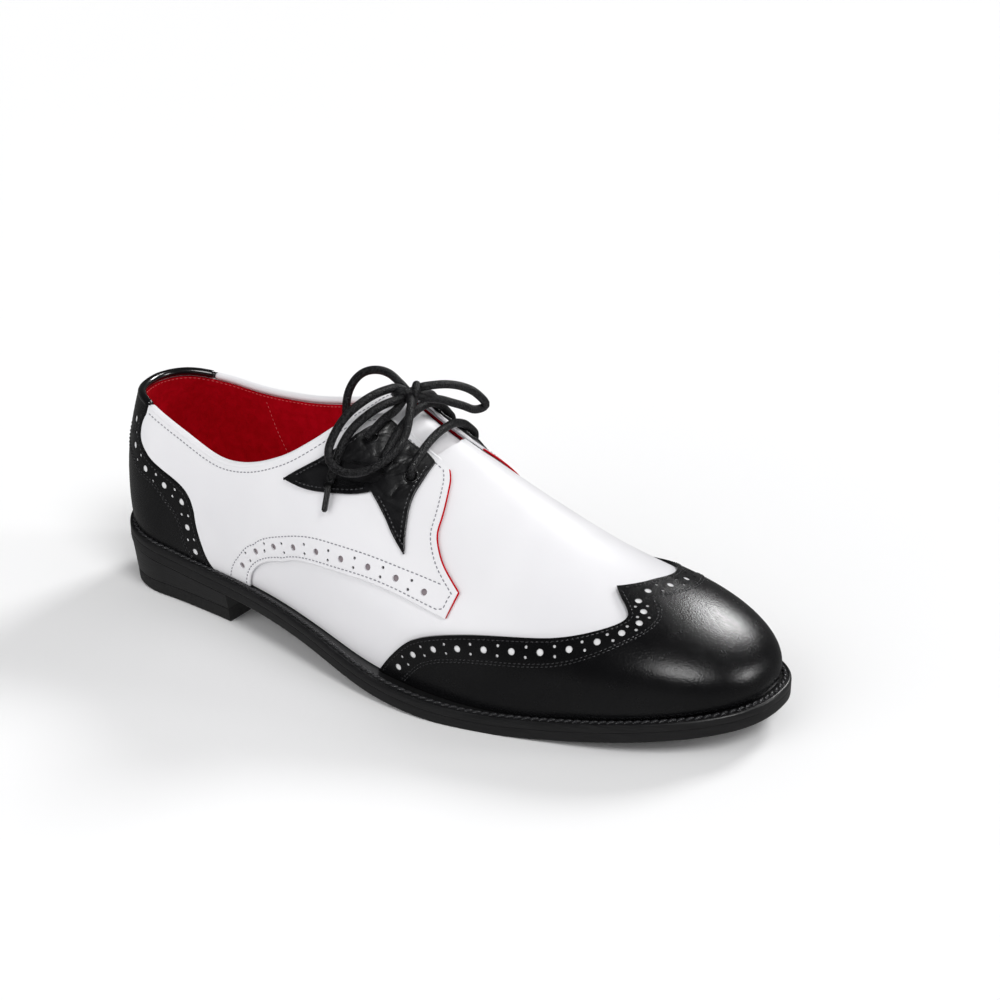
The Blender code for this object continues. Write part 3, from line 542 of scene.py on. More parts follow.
# Materials
LOOKS = {}                # materials by name
SLOT_LOOKS = {            # the look of each slot, unless a piece names another
    "quarter": "white", "vamp": "white", "tongue": "white", "black_leather": "black",
    "roll": "piping", "star": "star", "sock": "red", "sole": "sole", "rubber": "rubber",
    "lace": "lace", "aglet": "lace_tip",
}
THREADS = [
    ("lace_tip", (0.008, 0.008, 0.008), (0.014, 0.014, 0.014), 0.2),
    ("grey_thread", (0.20, 0.20, 0.23), (0.34, 0.34, 0.37), 0.6),
    ("black_thread", (0.010, 0.010, 0.011), (0.04, 0.04, 0.042), 0.22),
    ("star_thread", (0.02, 0.02, 0.022), (0.09, 0.09, 0.095), 0.25),
    ("welt_thread", (0.012, 0.012, 0.013), (0.05, 0.05, 0.054), 0.2),
    ("lining_thread", (0.75, 0.10, 0.10), (0.85, 0.2, 0.2), 0.6),
]
# Colours under punched holes: the white is the white leather beneath; the grey and the dark are
# painted shade in holes over white leather.
HOLE_COLOURS_AND_SHADES = [
    ("hole_white", (0.80, 0.80, 0.81)),
    ("hole_shade_grey", (0.26, 0.22, 0.235)),
    ("hole_shade_dark", (0.05, 0.048, 0.052)),
]


def feed(node, **values):
    """Gives a node's sockets, named with _ for a space, a value or a link."""
    for key, value in values.items():
        socket = node.inputs[key.replace("_", " ")]
        if isinstance(value, bpy.types.NodeSocket):
            node.id_data.links.new(value, socket)
        else:
            socket.default_value = value
    return node.outputs


class Shader:
    """A material's node tree with short ways to add nodes."""

    def __init__(self, name):
        self.made = bpy.data.materials.new(name)
        self.made.use_nodes = True
        self.tree = self.made.node_tree
        self.main = self.tree.nodes["Principled BSDF"]
        self.place = self.add("ShaderNodeTexCoord").outputs["Object"]

    def add(self, kind, **values):
        node = self.tree.nodes.new(kind)
        for key, value in values.items():
            setattr(node, key, value)
        return node

    def put(self, **values):
        feed(self.main, **values)

    def stretched(self, stretch):
        if stretch is None:
            return self.place
        return feed(self.add("ShaderNodeMapping"), Scale=stretch, Vector=self.place)["Vector"]

    def noise(self, scale, detail=3.0, rough=0.5, distortion=0.0, stretch=None):
        return feed(self.add("ShaderNodeTexNoise"), Scale=scale, Detail=detail, Roughness=rough,
                    Distortion=distortion, Vector=self.stretched(stretch))["Fac"]

    def cells(self, scale, feature="DISTANCE_TO_EDGE", stretch=None):
        node = self.add("ShaderNodeTexVoronoi", feature=feature)
        return feed(node, Scale=scale, Vector=self.stretched(stretch))["Distance"]

    def ramp(self, source, low, high, start=0.3, end=0.7):
        """Maps source from start..end to low..high, as a number."""
        return feed(self.add("ShaderNodeMapRange"), From_Min=start, From_Max=end, To_Min=low,
                    To_Max=high, Value=source)["Result"]

    def colour(self, share, first, second):
        mix = self.add("ShaderNodeMix", data_type="RGBA")
        self.put(Base_Color=feed(mix, Factor=share, A=(*first, 1), B=(*second, 1))["Result"])

    def bump(self, *layers):
        """layers are (height, depth in metres), finest last."""
        under_it = {}
        for height, depth in layers:
            node = self.add("ShaderNodeBump")
            normal = feed(node, Strength=1.0, Distance=depth, Height=height, **under_it)["Normal"]
            under_it = {"Normal": normal}
        self.put(**under_it)


def white_leather():
    s = Shader("white_leather")
    s.colour(s.ramp(s.noise(28.0, 2.0), 0, 1), (0.80, 0.795, 0.82), (0.83, 0.825, 0.845))
    s.put(Roughness=s.ramp(s.noise(60.0), 0.40, 0.50), Coat_Weight=0.10, Coat_Roughness=0.35,
          Specular_IOR_Level=0.45)
    s.bump((s.noise(300.0, 2.0), 0.00003), (s.cells(1500.0), 0.00001))
    return s.made


def black_leather(name="black_leather", gloss=0.23, coat=0.06, grain_depth=0.00009):
    s = Shader(name)
    s.colour(s.ramp(s.noise(40.0, 2.0), 0, 1), (0.0025, 0.0025, 0.003), (0.005, 0.005, 0.0055))
    s.put(Roughness=s.ramp(s.noise(220.0, 4.0), gloss, gloss + 0.05), Coat_Weight=coat,
          Coat_Roughness=0.18, Specular_IOR_Level=0.45)
    s.bump((s.noise(1300.0, 3.0), grain_depth), (s.cells(1100.0), grain_depth * 0.5))
    return s.made


def star_leather():
    s = Shader("star_leather")
    folds = s.noise(110.0, 2.0, 0.5, 0.8, (1.0, 1.0, 2.2))
    height = s.ramp(folds, 0, 1, 0.35, 0.65)
    # Colour follows the folds' height: painted shade, darker in the troughs and lighter on the
    # ridges.
    s.colour(height, (0.003, 0.003, 0.0035), (0.008, 0.008, 0.009))
    s.put(Roughness=s.ramp(folds, 0.24, 0.36), Coat_Weight=0.25, Coat_Roughness=0.25)
    s.bump((height, 0.00022), (s.noise(1400.0, 3.0), 0.00004))
    return s.made


def red_suede():
    s = Shader("red_lining")
    nap = s.noise(240.0, 4.0, 0.6, 0.6)
    s.colour(s.ramp(nap, 0, 1), (0.40, 0.0006, 0.006), (0.54, 0.002, 0.012))
    s.put(Roughness=0.92, Sheen_Weight=0.15, Sheen_Roughness=0.5, Specular_IOR_Level=0.05,
          Sheen_Tint=(1.0, 0.04, 0.06, 1))
    s.bump((nap, 0.00015), (s.noise(2200.0, 2.0), 0.00008))
    return s.made


def sole_edge():
    s = Shader("sole_edge")
    lines = s.noise(60.0, 3.0, 0.6, 0.2, (1.0, 1.0, 22.0))
    s.colour(s.ramp(lines, 0, 1), (0.007, 0.007, 0.0075), (0.013, 0.013, 0.0135))
    s.put(Roughness=s.ramp(lines, 0.30, 0.46), Coat_Weight=0.25, Coat_Roughness=0.3)
    s.bump((lines, 0.00012), (s.noise(1500.0), 0.00003))
    return s.made


def rubber():
    s = Shader("rubber")
    s.colour(s.noise(500.0), (0.010, 0.010, 0.010), (0.020, 0.020, 0.020))
    s.put(Roughness=s.ramp(s.noise(900.0), 0.50, 0.66))
    s.bump((s.noise(1600.0, 3.0), 0.00008))
    return s.made


def thread(name, first, second, gloss):
    s = Shader(name)
    s.colour(s.noise(900.0), first, second)
    s.put(Roughness=gloss, Coat_Weight=0.2, Coat_Roughness=0.25)
    twist = s.add("ShaderNodeTexWave", wave_type="BANDS", bands_direction="DIAGONAL")
    s.bump((feed(twist, Scale=900.0, Vector=s.place)["Fac"], 0.00012))
    return s.made


def lace_cloth():
    """Round waxed lace: small plaits crossing in two slants."""
    s = Shader("lace_cloth")
    plait = s.cells(1700.0, "F1", (1.0, 1.0, 0.8))
    # Colour follows the plaits: lighter in each plait's middle as painted light, darker at its rim
    # as painted shade.
    s.colour(s.ramp(plait, 0, 1, 0.15, 0.65), (0.028, 0.028, 0.030), (0.003, 0.003, 0.0035))
    s.put(Roughness=0.42, Coat_Weight=0.10, Coat_Roughness=0.35, Specular_IOR_Level=0.35)
    s.bump((plait, 0.0004), (s.noise(5200.0), 0.00006))
    return s.made


def sock_board():
    s = Shader("sock")
    s.colour(s.noise(200.0), (0.45, 0.004, 0.016), (0.60, 0.010, 0.026))
    s.put(Roughness=0.85)
    s.bump((s.noise(1200.0), 0.00006))
    return s.made


def hole_back(name, colour):
    s = Shader(name)
    s.colour(s.noise(300.0), colour, [0.9 * part for part in colour])
    s.put(Roughness=0.7)
    return s.made


def make_looks():
    LOOKS.update({
        "white": white_leather(),
        "black": black_leather(),
        "piping": black_leather("black_piping", 0.16, 0.8, 0.00002),
        "star": star_leather(),
        "red": red_suede(),
        "sole": sole_edge(),
        "rubber": rubber(),
        "sock": sock_board(),
        "lace": lace_cloth(),
    })
    for name, *values in THREADS:
        LOOKS[name] = thread(name, *values)
    for name, colour in HOLE_COLOURS_AND_SHADES:
        LOOKS[name] = hole_back(name, colour)


# Building pieces
SHARP = 0.6               # radians from which an edge of a sheet of leather is sharp
SOLE_SHARP = 0.7


def to_frame(points):
    return (np.asarray(points, float) - np.array([HEEL_CENTRE, 0, 0])) * MM


def add_piece(name, points, faces, slot, look=None, sharp=1.2, bevel=0.0):
    """One piece that rides on the shoe, from points in millimetres."""
    mesh = bpy.data.meshes.new(name)
    mesh.from_pydata([tuple(p) for p in to_frame(points)], [], faces)
    work = bmesh.new()
    work.from_mesh(mesh)
    bmesh.ops.remove_doubles(work, verts=work.verts, dist=2e-6)
    bmesh.ops.dissolve_degenerate(work, edges=work.edges, dist=1e-6)
    bmesh.ops.recalc_face_normals(work, faces=work.faces)
    work.to_mesh(mesh)
    work.free()
    mesh.shade_smooth()
    mesh.set_sharp_from_angle(angle=pi if bevel else sharp)
    mesh.materials.append(LOOKS[look or SLOT_LOOKS[slot]])
    made = in_scene(name, mesh)
    if bevel:
        rounding = made.modifiers.new("rounded", "BEVEL")
        rounding.width = bevel * MM
        rounding.segments = 3
        rounding.limit_method = "ANGLE"
        rounding.angle_limit = 0.9
        rounding.harden_normals = True
    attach(made, "root")
    return made


def densify(points, spacing):
    """Extra points on the straight runs of a closed line."""
    out = []
    for i, start in enumerate(points):
        end = points[(i + 1) % len(points)]
        count = max(1, int(np.ceil(np.hypot(*(end - start)) / spacing - 1e-6)))
        for k in range(count):
            out.append(start + (end - start) * k / count)
    return np.array(out)


def inside(points, loop):
    """Which points lie in a closed line."""
    x = points[:, 0]
    y = points[:, 1]
    hit = np.zeros(len(points), bool)
    for (x0, y0), (x1, y1) in zip(loop, np.roll(loop, -1, axis=0)):
        if y0 == y1:
            continue
        crosses = (y0 > y) != (y1 > y)
        hit ^= crosses & (x < (x1 - x0) * (y - y0) / (y1 - y0) + x0)
    return hit


def panel(name, outline, place, inner, outer, slot, spacing, holes=(), seams=(), bevel=0.0):
    """A piece cut to an outline drawn on the upper, between two forms.

    outline and holes are closed lines in the flat map, place turns map points into space
    at a distance out from the upper's form. The map's edges at the seams meet in space,
    so they get no side wall.
    """
    outline = densify(np.asarray(outline, float), spacing)
    loops = [outline] + [np.asarray(hole, float) for hole in holes]

    def within(points):
        kept = inside(points, outline)
        for hole in loops[1:]:
            kept &= ~inside(points, hole)
        return kept

    low = outline.min(axis=0)
    high = outline.max(axis=0)
    heights = np.arange(low[1] + spacing / 2, high[1], spacing * 0.87)
    grid = np.array([(u, v) for row, v in enumerate(heights)
                     for u in np.arange(low[0] + row % 2 * spacing / 2, high[0], spacing)])
    edge = np.concatenate(loops)
    near = np.linalg.norm(grid[:, None] - edge[None], axis=2).min(axis=1)
    grid = grid[within(grid) & (near > spacing * 0.55)]
    edges = []
    start = 0
    for loop in loops:
        edges += [(start + i, start + (i + 1) % len(loop)) for i in range(len(loop))]
        start += len(loop)
    flat = [Vector(p) for p in np.concatenate([edge, grid])]
    verts, _, tris, _, _, _ = delaunay_2d_cdt(flat, edges, [], 0, 1e-6)
    verts = np.array([(p.x, p.y) for p in verts])
    tris = np.array(tris)
    tris = tris[within(verts[tris].mean(axis=1))]
    count = len(verts)
    faces = [tuple(t) for t in tris]
    faces += [(c + count, b + count, a + count) for a, b, c in tris]
    ways = dict.fromkeys(way for a, b, c in tris for way in ((a, b), (b, c), (c, a)))
    for p, q in ways:
        on_seam = any(abs(verts[[p, q], 0] - u).max() < 1e-4 for u in seams)
        if (q, p) not in ways and not on_seam:
            faces.append((p, p + count, q + count, q))
    points = np.concatenate([place(verts, outer), place(verts, inner)])
    return add_piece(name, points, faces, slot, sharp=SHARP, bevel=bevel)


def line_3d(flat, place, out, step=0.5):
    """Points and outward directions along a line drawn in a flat map."""
    points = place(flat, out)
    return points, unit(place(flat, out + step) - points)


def resample(points, spacing):
    along = run_lengths(points)
    count = max(2, int(round(along[-1] / spacing)) + 1)
    return read_at(np.linspace(0, along[-1], count), along, points)


def at_pitch(points, pitch, start=0.5):
    """Points at an even pitch along a line, the first start pitches in."""
    along = run_lengths(points)
    count = max(1, int(round(along[-1] / pitch)))
    return read_at((np.arange(count) + start) * along[-1] / count, along, points)


STITCH_SHAPE = [(-1.0, 0.30, -0.9), (-0.8, 0.75, -0.25), (-0.35, 1.0, 0.1), (0.35, 1.0, 0.1),
                (0.8, 0.75, -0.25), (1.0, 0.30, -0.9)]


def oval_rings(line, across_dir, out_dir, sides):
    """Points of rings round a line; the two directions carry the half widths."""
    turn = np.linspace(0, 2 * pi, sides, endpoint=False)[:, None]
    return np.concatenate([c + a * np.cos(turn) + o * np.sin(turn)
                           for c, a, o in zip(line, across_dir, out_dir)])


def sleeve(start, rings, sides, closed=False, capped=True):
    """Faces between rings of points, the first ring starting at a point's number."""
    faces = []
    for i in range(rings if closed else rings - 1):
        low = start + i * sides
        high = start + (i + 1) % rings * sides
        faces += [(low + k, low + (k + 1) % sides, high + (k + 1) % sides, high + k)
                  for k in range(sides)]
    if capped and not closed:
        last = start + (rings - 1) * sides
        faces.append(tuple(start + k for k in reversed(range(sides))))
        faces.append(tuple(last + k for k in range(sides)))
    return faces


def stitches(name, rows, slot, look, pitch=2.0, share=0.74, radius=0.24, slant=0.0):
    """Rows of single stitches. Each row is points and outward directions along it."""
    sides = 6
    reach, width, drop = np.array(STITCH_SHAPE).T[:, :, None]
    points = []
    faces = []
    for line, outward in rows:
        places = at_pitch(line, pitch)
        ahead = at_pitch(line, pitch, 0.52)
        near = np.linalg.norm(line[None] - places[:, None], axis=2).argmin(axis=1)
        along = unit(ahead - places)
        across_dir = unit(np.cross(unit(outward[near]), along))
        normal = np.cross(along, across_dir)
        along = unit(along + slant * across_dir)
        across_dir = np.cross(normal, along)
        for c, t, b, n in zip(places, along, across_dir, normal):
            middle = c + t * (pitch * share / 2) * reach + n * radius * drop
            faces += sleeve(len(points), len(STITCH_SHAPE), sides)
            points += list(oval_rings(middle, b * radius * width, n * radius * width, sides))
    return add_piece(name, points, faces, slot, look)


def tube(name, line, outward, radius_out, radius_across, slot, sides=10, closed=False):
    """An oval tube along a line, as piping or a folded edge."""
    along = unit(np.gradient(line, axis=0))
    side = unit(np.cross(outward, along))
    out = np.cross(along, side)
    taper = np.ones((len(line), 1))
    if not closed:
        taper[[0, -1]] = 0.55
    points = oval_rings(line, side * radius_across * taper, out * radius_out * taper, sides)
    return add_piece(name, points, sleeve(0, len(line), sides, closed), slot)


def piping(name, flat, place, out, radius_out, radius_across, slot, *shape):
    """A tube along a line drawn in a flat map."""
    line, outward = line_3d(flat, place, out)
    return tube(name, line, outward, radius_out, radius_across, slot, *shape)


def slopes(flat, place):
    """How space changes along the map's two directions, at each point."""
    step = 0.25
    moves = [place(flat + shift, 1.0) - place(flat - shift, 1.0) for shift in np.eye(2) * step]
    return np.stack(moves, axis=2) / (2 * step)


def circle(centre, radius, place, count=12):
    """A loop in the map that is round in space."""
    turn = np.linspace(0, 2 * pi, count, endpoint=False)
    slope = slopes(np.asarray(centre, float)[None], place)[0]
    shape = np.linalg.inv(np.linalg.cholesky(slope.T @ slope)).T
    ring = np.stack([np.cos(turn), np.sin(turn)], axis=1) @ shape.T
    return np.asarray(centre) + radius * ring


OFFSET_STEPS = 5


def offset(flat, distance, place, keep=None):
    """A line moved sideways by millimetres in space; to the left where distance is above 0."""
    flat = np.asarray(flat, float)
    slope = slopes(flat, place)
    along = np.gradient(flat, axis=0)
    forward = unit(np.einsum("nij,nj->ni", slope, along))
    left = np.stack([-along[:, 1], along[:, 0]], axis=1)
    sideways = np.einsum("nij,nj->ni", slope, left)
    sideways = unit(sideways - forward * np.sum(sideways * forward, axis=1, keepdims=True))
    for _ in range(OFFSET_STEPS):
        slope = slopes(flat, place)
        square = np.einsum("nji,njk->nik", slope, slope) + 1e-4 * np.eye(2)
        pull = np.einsum("nji,nj->ni", slope, sideways)
        move = np.linalg.solve(square, pull[..., None])[..., 0]
        real = np.linalg.norm(np.einsum("nij,nj->ni", slope, move), axis=1, keepdims=True)
        flat = flat + move / np.maximum(real, 0.05) * distance / OFFSET_STEPS
    if keep is not None:
        flat = flat[keep(flat)]
    return untangle(flat)


def discs(name, centres, radius, place, out, slot, look=None):
    """Small round discs under the holes of a row: white leather seen through them, or painted
    shade.
    """
    points = []
    faces = []
    for centre in centres:
        ring = np.vstack([circle(centre, radius, place), np.asarray(centre)[None]])
        start = len(points)
        points += list(place(ring, out))
        faces += [(start + k, start + (k + 1) % 12, start + 12) for k in range(12)]
    return add_piece(name, points, faces, slot, look)


# Lines of the patterns, in a side's map (run, height * GIRTH) unless they say otherwise
SIDE_SCALE = np.array([LENGTH, GIRTH])
BIG_HOLE = 1.4
PIN_HOLE = 0.66
PIN_SPREAD = 1.9
QUARTER_HOLES = (9, 0.032, 0.93)   # how many, then the outer ones' places along the row
COUNTER_HOLES = (7, 0.10, 0.94)
WING_HOLES = (13, 0.05, 0.965)
HOLE_OFFSET = 5.3         # from a pattern piece's edge to its row of holes
INNER_OFFSET = 10.2       # from its edge to its inner stitches
EDGE_STITCH = 1.5
BLACK_STITCH = (1.9, 0.75, 0.3)  # pitch, share of it that is thread, radius
STITCH_ROOM = 0.018       # the counter's stitches end this far below its top
FACING_STITCH = [(0.500, 0.835), (0.545, 0.835), (0.590, 0.832)]


def hole_row(line, place, count, first, last):
    """Big holes along a line and a pair of pinholes between each two.

    first and last are the outer holes' places, as shares of the line's real length.
    """
    along = run_lengths(place(line, 1.0))
    share = along / along[-1]
    places = np.linspace(first, last, count)
    middle = (places[1:] + places[:-1]) / 2
    short = np.stack([read_at(middle + step, share, line) for step in (-0.004, 0.0, 0.004)],
                     axis=1)
    pins = [shifted(three, distance, place) for distance in (PIN_SPREAD, -PIN_SPREAD)
            for three in short]
    return read_at(places, share, line), np.array(pins)


def shifted(three, distance, place):
    """The middle one of three points of a line, moved sideways by millimetres in space."""
    slope = slopes(three[1:2], place)[0]
    along = three[2] - three[0]
    forward = slope @ along
    left = slope @ np.array([-along[1], along[0]])
    left = left - forward * (left @ forward) / (forward @ forward)
    move = np.linalg.solve(slope.T @ slope, slope.T @ left)
    return three[1] + move / np.linalg.norm(slope @ move) * distance


TIP_STITCH = (201.2, 44.9)  # where the front and lower stitches of a quarter meet
STRIP_INNER = [(89.0, 0.010), (91.0, 0.092), (96.0, 0.179), (104.0, 0.271), (115.0, 0.317),
               (124.0, 0.342), (138.0, 0.383), (151.0, 0.417), (167.0, 0.458), (182.0, 0.487),
               (193.0, 0.504), (200.0, 0.512)]


def quarter_lines(place):
    arc = smooth_line(QUARTER_ARC, 140) * SIDE_SCALE

    def in_range(p):
        return (p[:, 1] > 0.5) & (p[:, 0] < 0.672 * LENGTH)

    return {
        "arc": arc,
        "edge_stitch": offset(arc, -EDGE_STITCH, place, in_range),
        "holes": offset(arc, -HOLE_OFFSET, place, in_range),
        "strip_in": smooth_line(np.array(STRIP_INNER) * np.array([1, GIRTH]), 200),
    }


def eyelet_loops(radius, place):
    return [circle((t * LENGTH, a * GIRTH), radius, place, 16) for t, a in EYELETS]


def punched(big, pins, place):
    """Loops of a row's holes."""
    loops = [circle(c, BIG_HOLE, place) for c in big]
    return loops + [circle(c, PIN_HOLE, place, 8) for c in pins]


def mirrored(row, mirror):
    return np.concatenate([row, row * mirror])


def fine_quarter(name, side, node):
    place = place_side(side)
    lines = quarter_lines(place)
    edge = beside(counter_edge(side, 60) * SIDE_SCALE, CURVED_GAP + 0.1) / SIDE_SCALE
    edge[-1, 1] = 0.0
    top = collar_line(side, edge[0, 0] + 0.002, COLLAR_END, 60, ROLL_ROOM - ROLL_LAP)
    front = smooth_line(QUARTER_FRONT, 50)
    arc = smooth_line(QUARTER_ARC, 60)
    outline = np.concatenate([top, FACING, front, [QUARTER_TIP], arc, edge[::-1]]) * SIDE_SCALE
    big, pins = hole_row(lines["holes"], place, *QUARTER_HOLES)
    holes = eyelet_loops(EYELET_RADIUS, place) + punched(big, pins, place)
    inner = CURVED_GAP
    outer = inner + LEATHER
    made = panel(name, outline, place, inner, outer, "quarter", 2.6, holes,
                 bevel=0.35)
    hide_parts(node)
    # Grey discs in the big holes: painted shade over the white vamp beneath.
    discs(name + "_hole_backs", big, BIG_HOLE + 0.2, place, inner + 0.1, "quarter", "hole_shade_grey")
    # Dark discs in the pinholes: painted shade over the white vamp beneath.
    discs(name + "_pin_shade", pins, PIN_HOLE + 0.2, place, inner + 0.4, "quarter", "hole_shade_dark")
    front_line = np.vstack([smooth_line(QUARTER_FRONT, 120), QUARTER_TIP]) * SIDE_SCALE
    front_in = offset(resample(front_line, 0.8), -2.3, place,
                      lambda p: p[:, 1] > TIP_STITCH[1] + 0.6)
    tip = np.array([front_in[-1], TIP_STITCH, lines["edge_stitch"][0]])
    collar = collar_line(side, edge[0, 0] + 0.006, COLLAR_END, 120, ROLL_ROOM) * SIDE_SCALE
    facing = np.array(FACING_STITCH) * SIDE_SCALE
    flats = [lines["edge_stitch"], lines["strip_in"], front_in, resample(tip, 1.0),
             offset(collar, -1.0, place), resample(facing, 1.0)]
    rows = [line_3d(flat, place, outer) for flat in flats]
    stitches(name + "_stitches", rows, "quarter", "grey_thread")
    middle = inner + LEATHER * 0.45
    edge_line = np.vstack([smooth_line(QUARTER_FRONT, 90), QUARTER_TIP]) * SIDE_SCALE
    piping(name + "_red_edge", edge_line, place, middle, 0.42, 0.55, "sock")
    piping(name + "_lower_edge", beside(lines["arc"], -0.2), place, middle, 0.62, 0.6,
           "quarter")
    piping(name + "_facing_edge", resample(np.array(FACING) * SIDE_SCALE, 1.5), place, middle,
           0.7, 0.8, "quarter")


COUNTER_INNER = [(11.5, 0.470), (14.5, 0.440), (20.0, 0.40), (27.0, 0.365), (34.0, 0.342),
                 (40.0, 0.317), (49.0, 0.292), (54.0, 0.254), (58.0, 0.221), (61.0, 0.175),
                 (62.0, 0.117), (64.0, 0.054), (67.0, 0.012)]


def fine_counter():
    lateral_edge = counter_edge(LATERAL, 120) * SIDE_SCALE
    stitch, holes_line = [offset(lateral_edge, -distance, place_heel, lambda p: p[:, 1] > 0.5)
                          for distance in (EDGE_STITCH, HOLE_OFFSET)]
    mirror = np.array([-1, 1])
    halves = {}
    for side in SIDES:
        front = counter_edge(side, 60)
        top = collar_line(side, 0.0, front[0, 0] - 0.002, 24, ROLL_ROOM - ROLL_LAP)
        halves[side] = np.concatenate([top, front]) * SIDE_SCALE
    outline = np.concatenate([halves[MEDIAL], halves[LATERAL][1:][::-1] * mirror])
    big, pins = [mirrored(row, mirror) for row in hole_row(holes_line, place_heel, *COUNTER_HOLES)]
    inner = CURVED_GAP
    outer = inner + LEATHER + 0.3
    made = panel("counter", outline, place_heel, inner, outer, "black_leather",
                 2.4, punched(big, pins, place_heel), bevel=0.4)
    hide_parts("heel_counter")
    discs("counter_hole_backs", np.concatenate([big, pins]), BIG_HOLE + 0.2, place_heel,
          outer - 0.45, "quarter", "hole_white")
    inner_line = smooth_line(np.array(COUNTER_INNER) * np.array([1, GIRTH]), 120)
    rows = []
    for flat in (stitch, inner_line, offset(inner_line, 1.1, place_heel)):
        for side in SIDES:
            top = collar_heights[side](flat[:, 0] / LENGTH) - ROLL_ROOM - STITCH_ROOM
            kept = flat[flat[:, 1] / GIRTH < top] * np.array([side, 1])
            rows.append(line_3d(kept, place_heel, outer))
    stitches("counter_stitches", rows, "black_leather", "black_thread", *BLACK_STITCH)
    for label, side in (("medial", MEDIAL), ("lateral", LATERAL)):
        line = beside(counter_edge(side, 120) * SIDE_SCALE, -0.15) * np.array([side, 1])
        piping("counter_edge_" + label, line, place_heel, inner + 0.6, 0.75, 0.65,
               "black_leather")


WING_SHIFT = (5.4, -10.0)    # the peak's move along and across, in millimetres
WING_REACH = (28.0, 20.0)    # how far the move fades, along and across


def place_wing(points, out):
    """The wing tip's peak leans to the outer side and forward, as in the photograph."""
    s, v = points.T
    along, across_reach = WING_REACH
    share = np.exp(-((s - WING_PEAK * LENGTH) / along) ** 2 - (v / across_reach) ** 2)
    return place_across(points + share[:, None] * WING_SHIFT, out)


def wing_lines():
    """One side's wing edge and its rows, with v measured from the crown down."""
    side = np.concatenate([smooth_line(WING_SIDE, 140), [(WING_PEAK, 1.0)]])
    s = side[:, 0] * LENGTH
    flat = resample(np.stack([s, (1 - side[:, 1]) * half_girth(s)], axis=1), 0.8)

    def own(p):
        return (p[:, 1] > 0.3) & (p[:, 1] < half_girth(p[:, 0]) - 0.8)

    offsets = (EDGE_STITCH, INNER_OFFSET - 0.5, INNER_OFFSET + 0.6, HOLE_OFFSET)
    rows = [offset(flat, distance, place_wing, own) for distance in offsets]
    return flat, rows[:3], rows[3]


def untangle(line, least=0.25):
    """Leaves out the points where an offset line doubles back at an inner corner."""
    kept = [line[0]]
    for point in line[1:]:
        if len(kept) < 2 or np.dot(point - kept[-1], kept[-1] - kept[-2]) > -1e-9:
            if np.linalg.norm(point - kept[-1]) > least:
                kept.append(point)
    return np.array(kept)


def fine_toe_cap():
    edge, rows_flat, holes_line = wing_lines()
    mirror = np.array([1, -1])
    welt_s = np.linspace(edge[0, 0], TOE_END, 90)[1:-1]
    outline = [*(edge * mirror)[:-1], (WING_PEAK * LENGTH, 0.0), *edge[::-1][1:]]
    outline += [(s, half_girth(s)) for s in welt_s] + [(TOE_END, 0)]
    outline += [(s, -half_girth(s)) for s in welt_s[::-1]]
    big, pins = [mirrored(row, mirror)
                 for row in hole_row(holes_line, place_wing, *WING_HOLES)]
    inner = CURVED_GAP + 0.1
    outer = inner + LEATHER + 0.1
    made = panel("wing_tip", outline, place_wing, inner, outer, "black_leather",
                 2.2, punched(big, pins, place_wing), bevel=0.4)
    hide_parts("toe_cap")
    discs("wing_tip_hole_backs", np.concatenate([big, pins]), BIG_HOLE + 0.2, place_wing,
          outer - 0.45, "quarter", "hole_white")
    rows = [line_3d(row, place_wing, outer) for flat in rows_flat for row in (flat, flat * mirror)]
    stitches("wing_tip_stitches", rows, "black_leather", "black_thread", *BLACK_STITCH)


def vamp_relief(s, v):
    """Soft troughs and ridges of the vamp, in millimetres out."""
    total = np.zeros_like(s)
    for s0, v0, along, across_size, slant, height in VAMP_CREASES:
        ds = (s - s0) + slant * (v - v0)
        total += height * np.exp(-(ds / along) ** 2 - ((v - v0) / across_size) ** 2)
    return total


VAMP_CREASES = [
    (222.0, -18.0, 5.0, 30.0, 0.25, -0.30),
    (232.0, 10.0, 5.0, 26.0, -0.25, -0.25),
    (214.0, 4.0, 6.0, 34.0, 0.05, 0.20),
]


def place_creased(points, out):
    return place_across(points, out + vamp_relief(*points.T))


LINING_SEAM = [(0.202, 0.425), (0.213, 0.350), (0.236, 0.275), (0.262, 0.200)]


def upper_outline():
    throat = np.array([(COLLAR_END + 0.012, THROAT_EDGE), (0.545, THROAT_EDGE),
                       (THROAT_FRONT - 0.008, THROAT_EDGE + 0.02), (THROAT_FRONT, 0.90)])
    edges = {}
    for side in SIDES:
        collar = collar_line(side, 0.0, COLLAR_END, 80, ROLL_ROOM)
        edges[side] = np.concatenate([collar[collar[:, 1] < THROAT_EDGE - 0.02], throat])
    end = TOE_END / LENGTH
    welt_line = np.linspace(0, end, 140)[:-1]
    outline = [(t, a - 1) for t, a in edges[LATERAL]] + [(THROAT_FRONT + 0.004, 0.0)]
    outline += [(t, 1 - a) for t, a in edges[MEDIAL][::-1]]
    outline += [(t, 1) for t in welt_line] + [(end, 0)] + [(t, -1) for t in welt_line[::-1]]
    return across(outline)


def across_eyelets(radius):
    loops = []
    turn = np.linspace(0, 2 * pi, 14, endpoint=False)
    for side in SIDES:
        for t, a in EYELETS:
            u = t * LENGTH + radius * np.cos(turn)
            v = a * GIRTH + radius * np.sin(turn)
            loops.append(np.stack([u, side * (1 - v / GIRTH) * half_girth(u)], axis=1))
    return loops


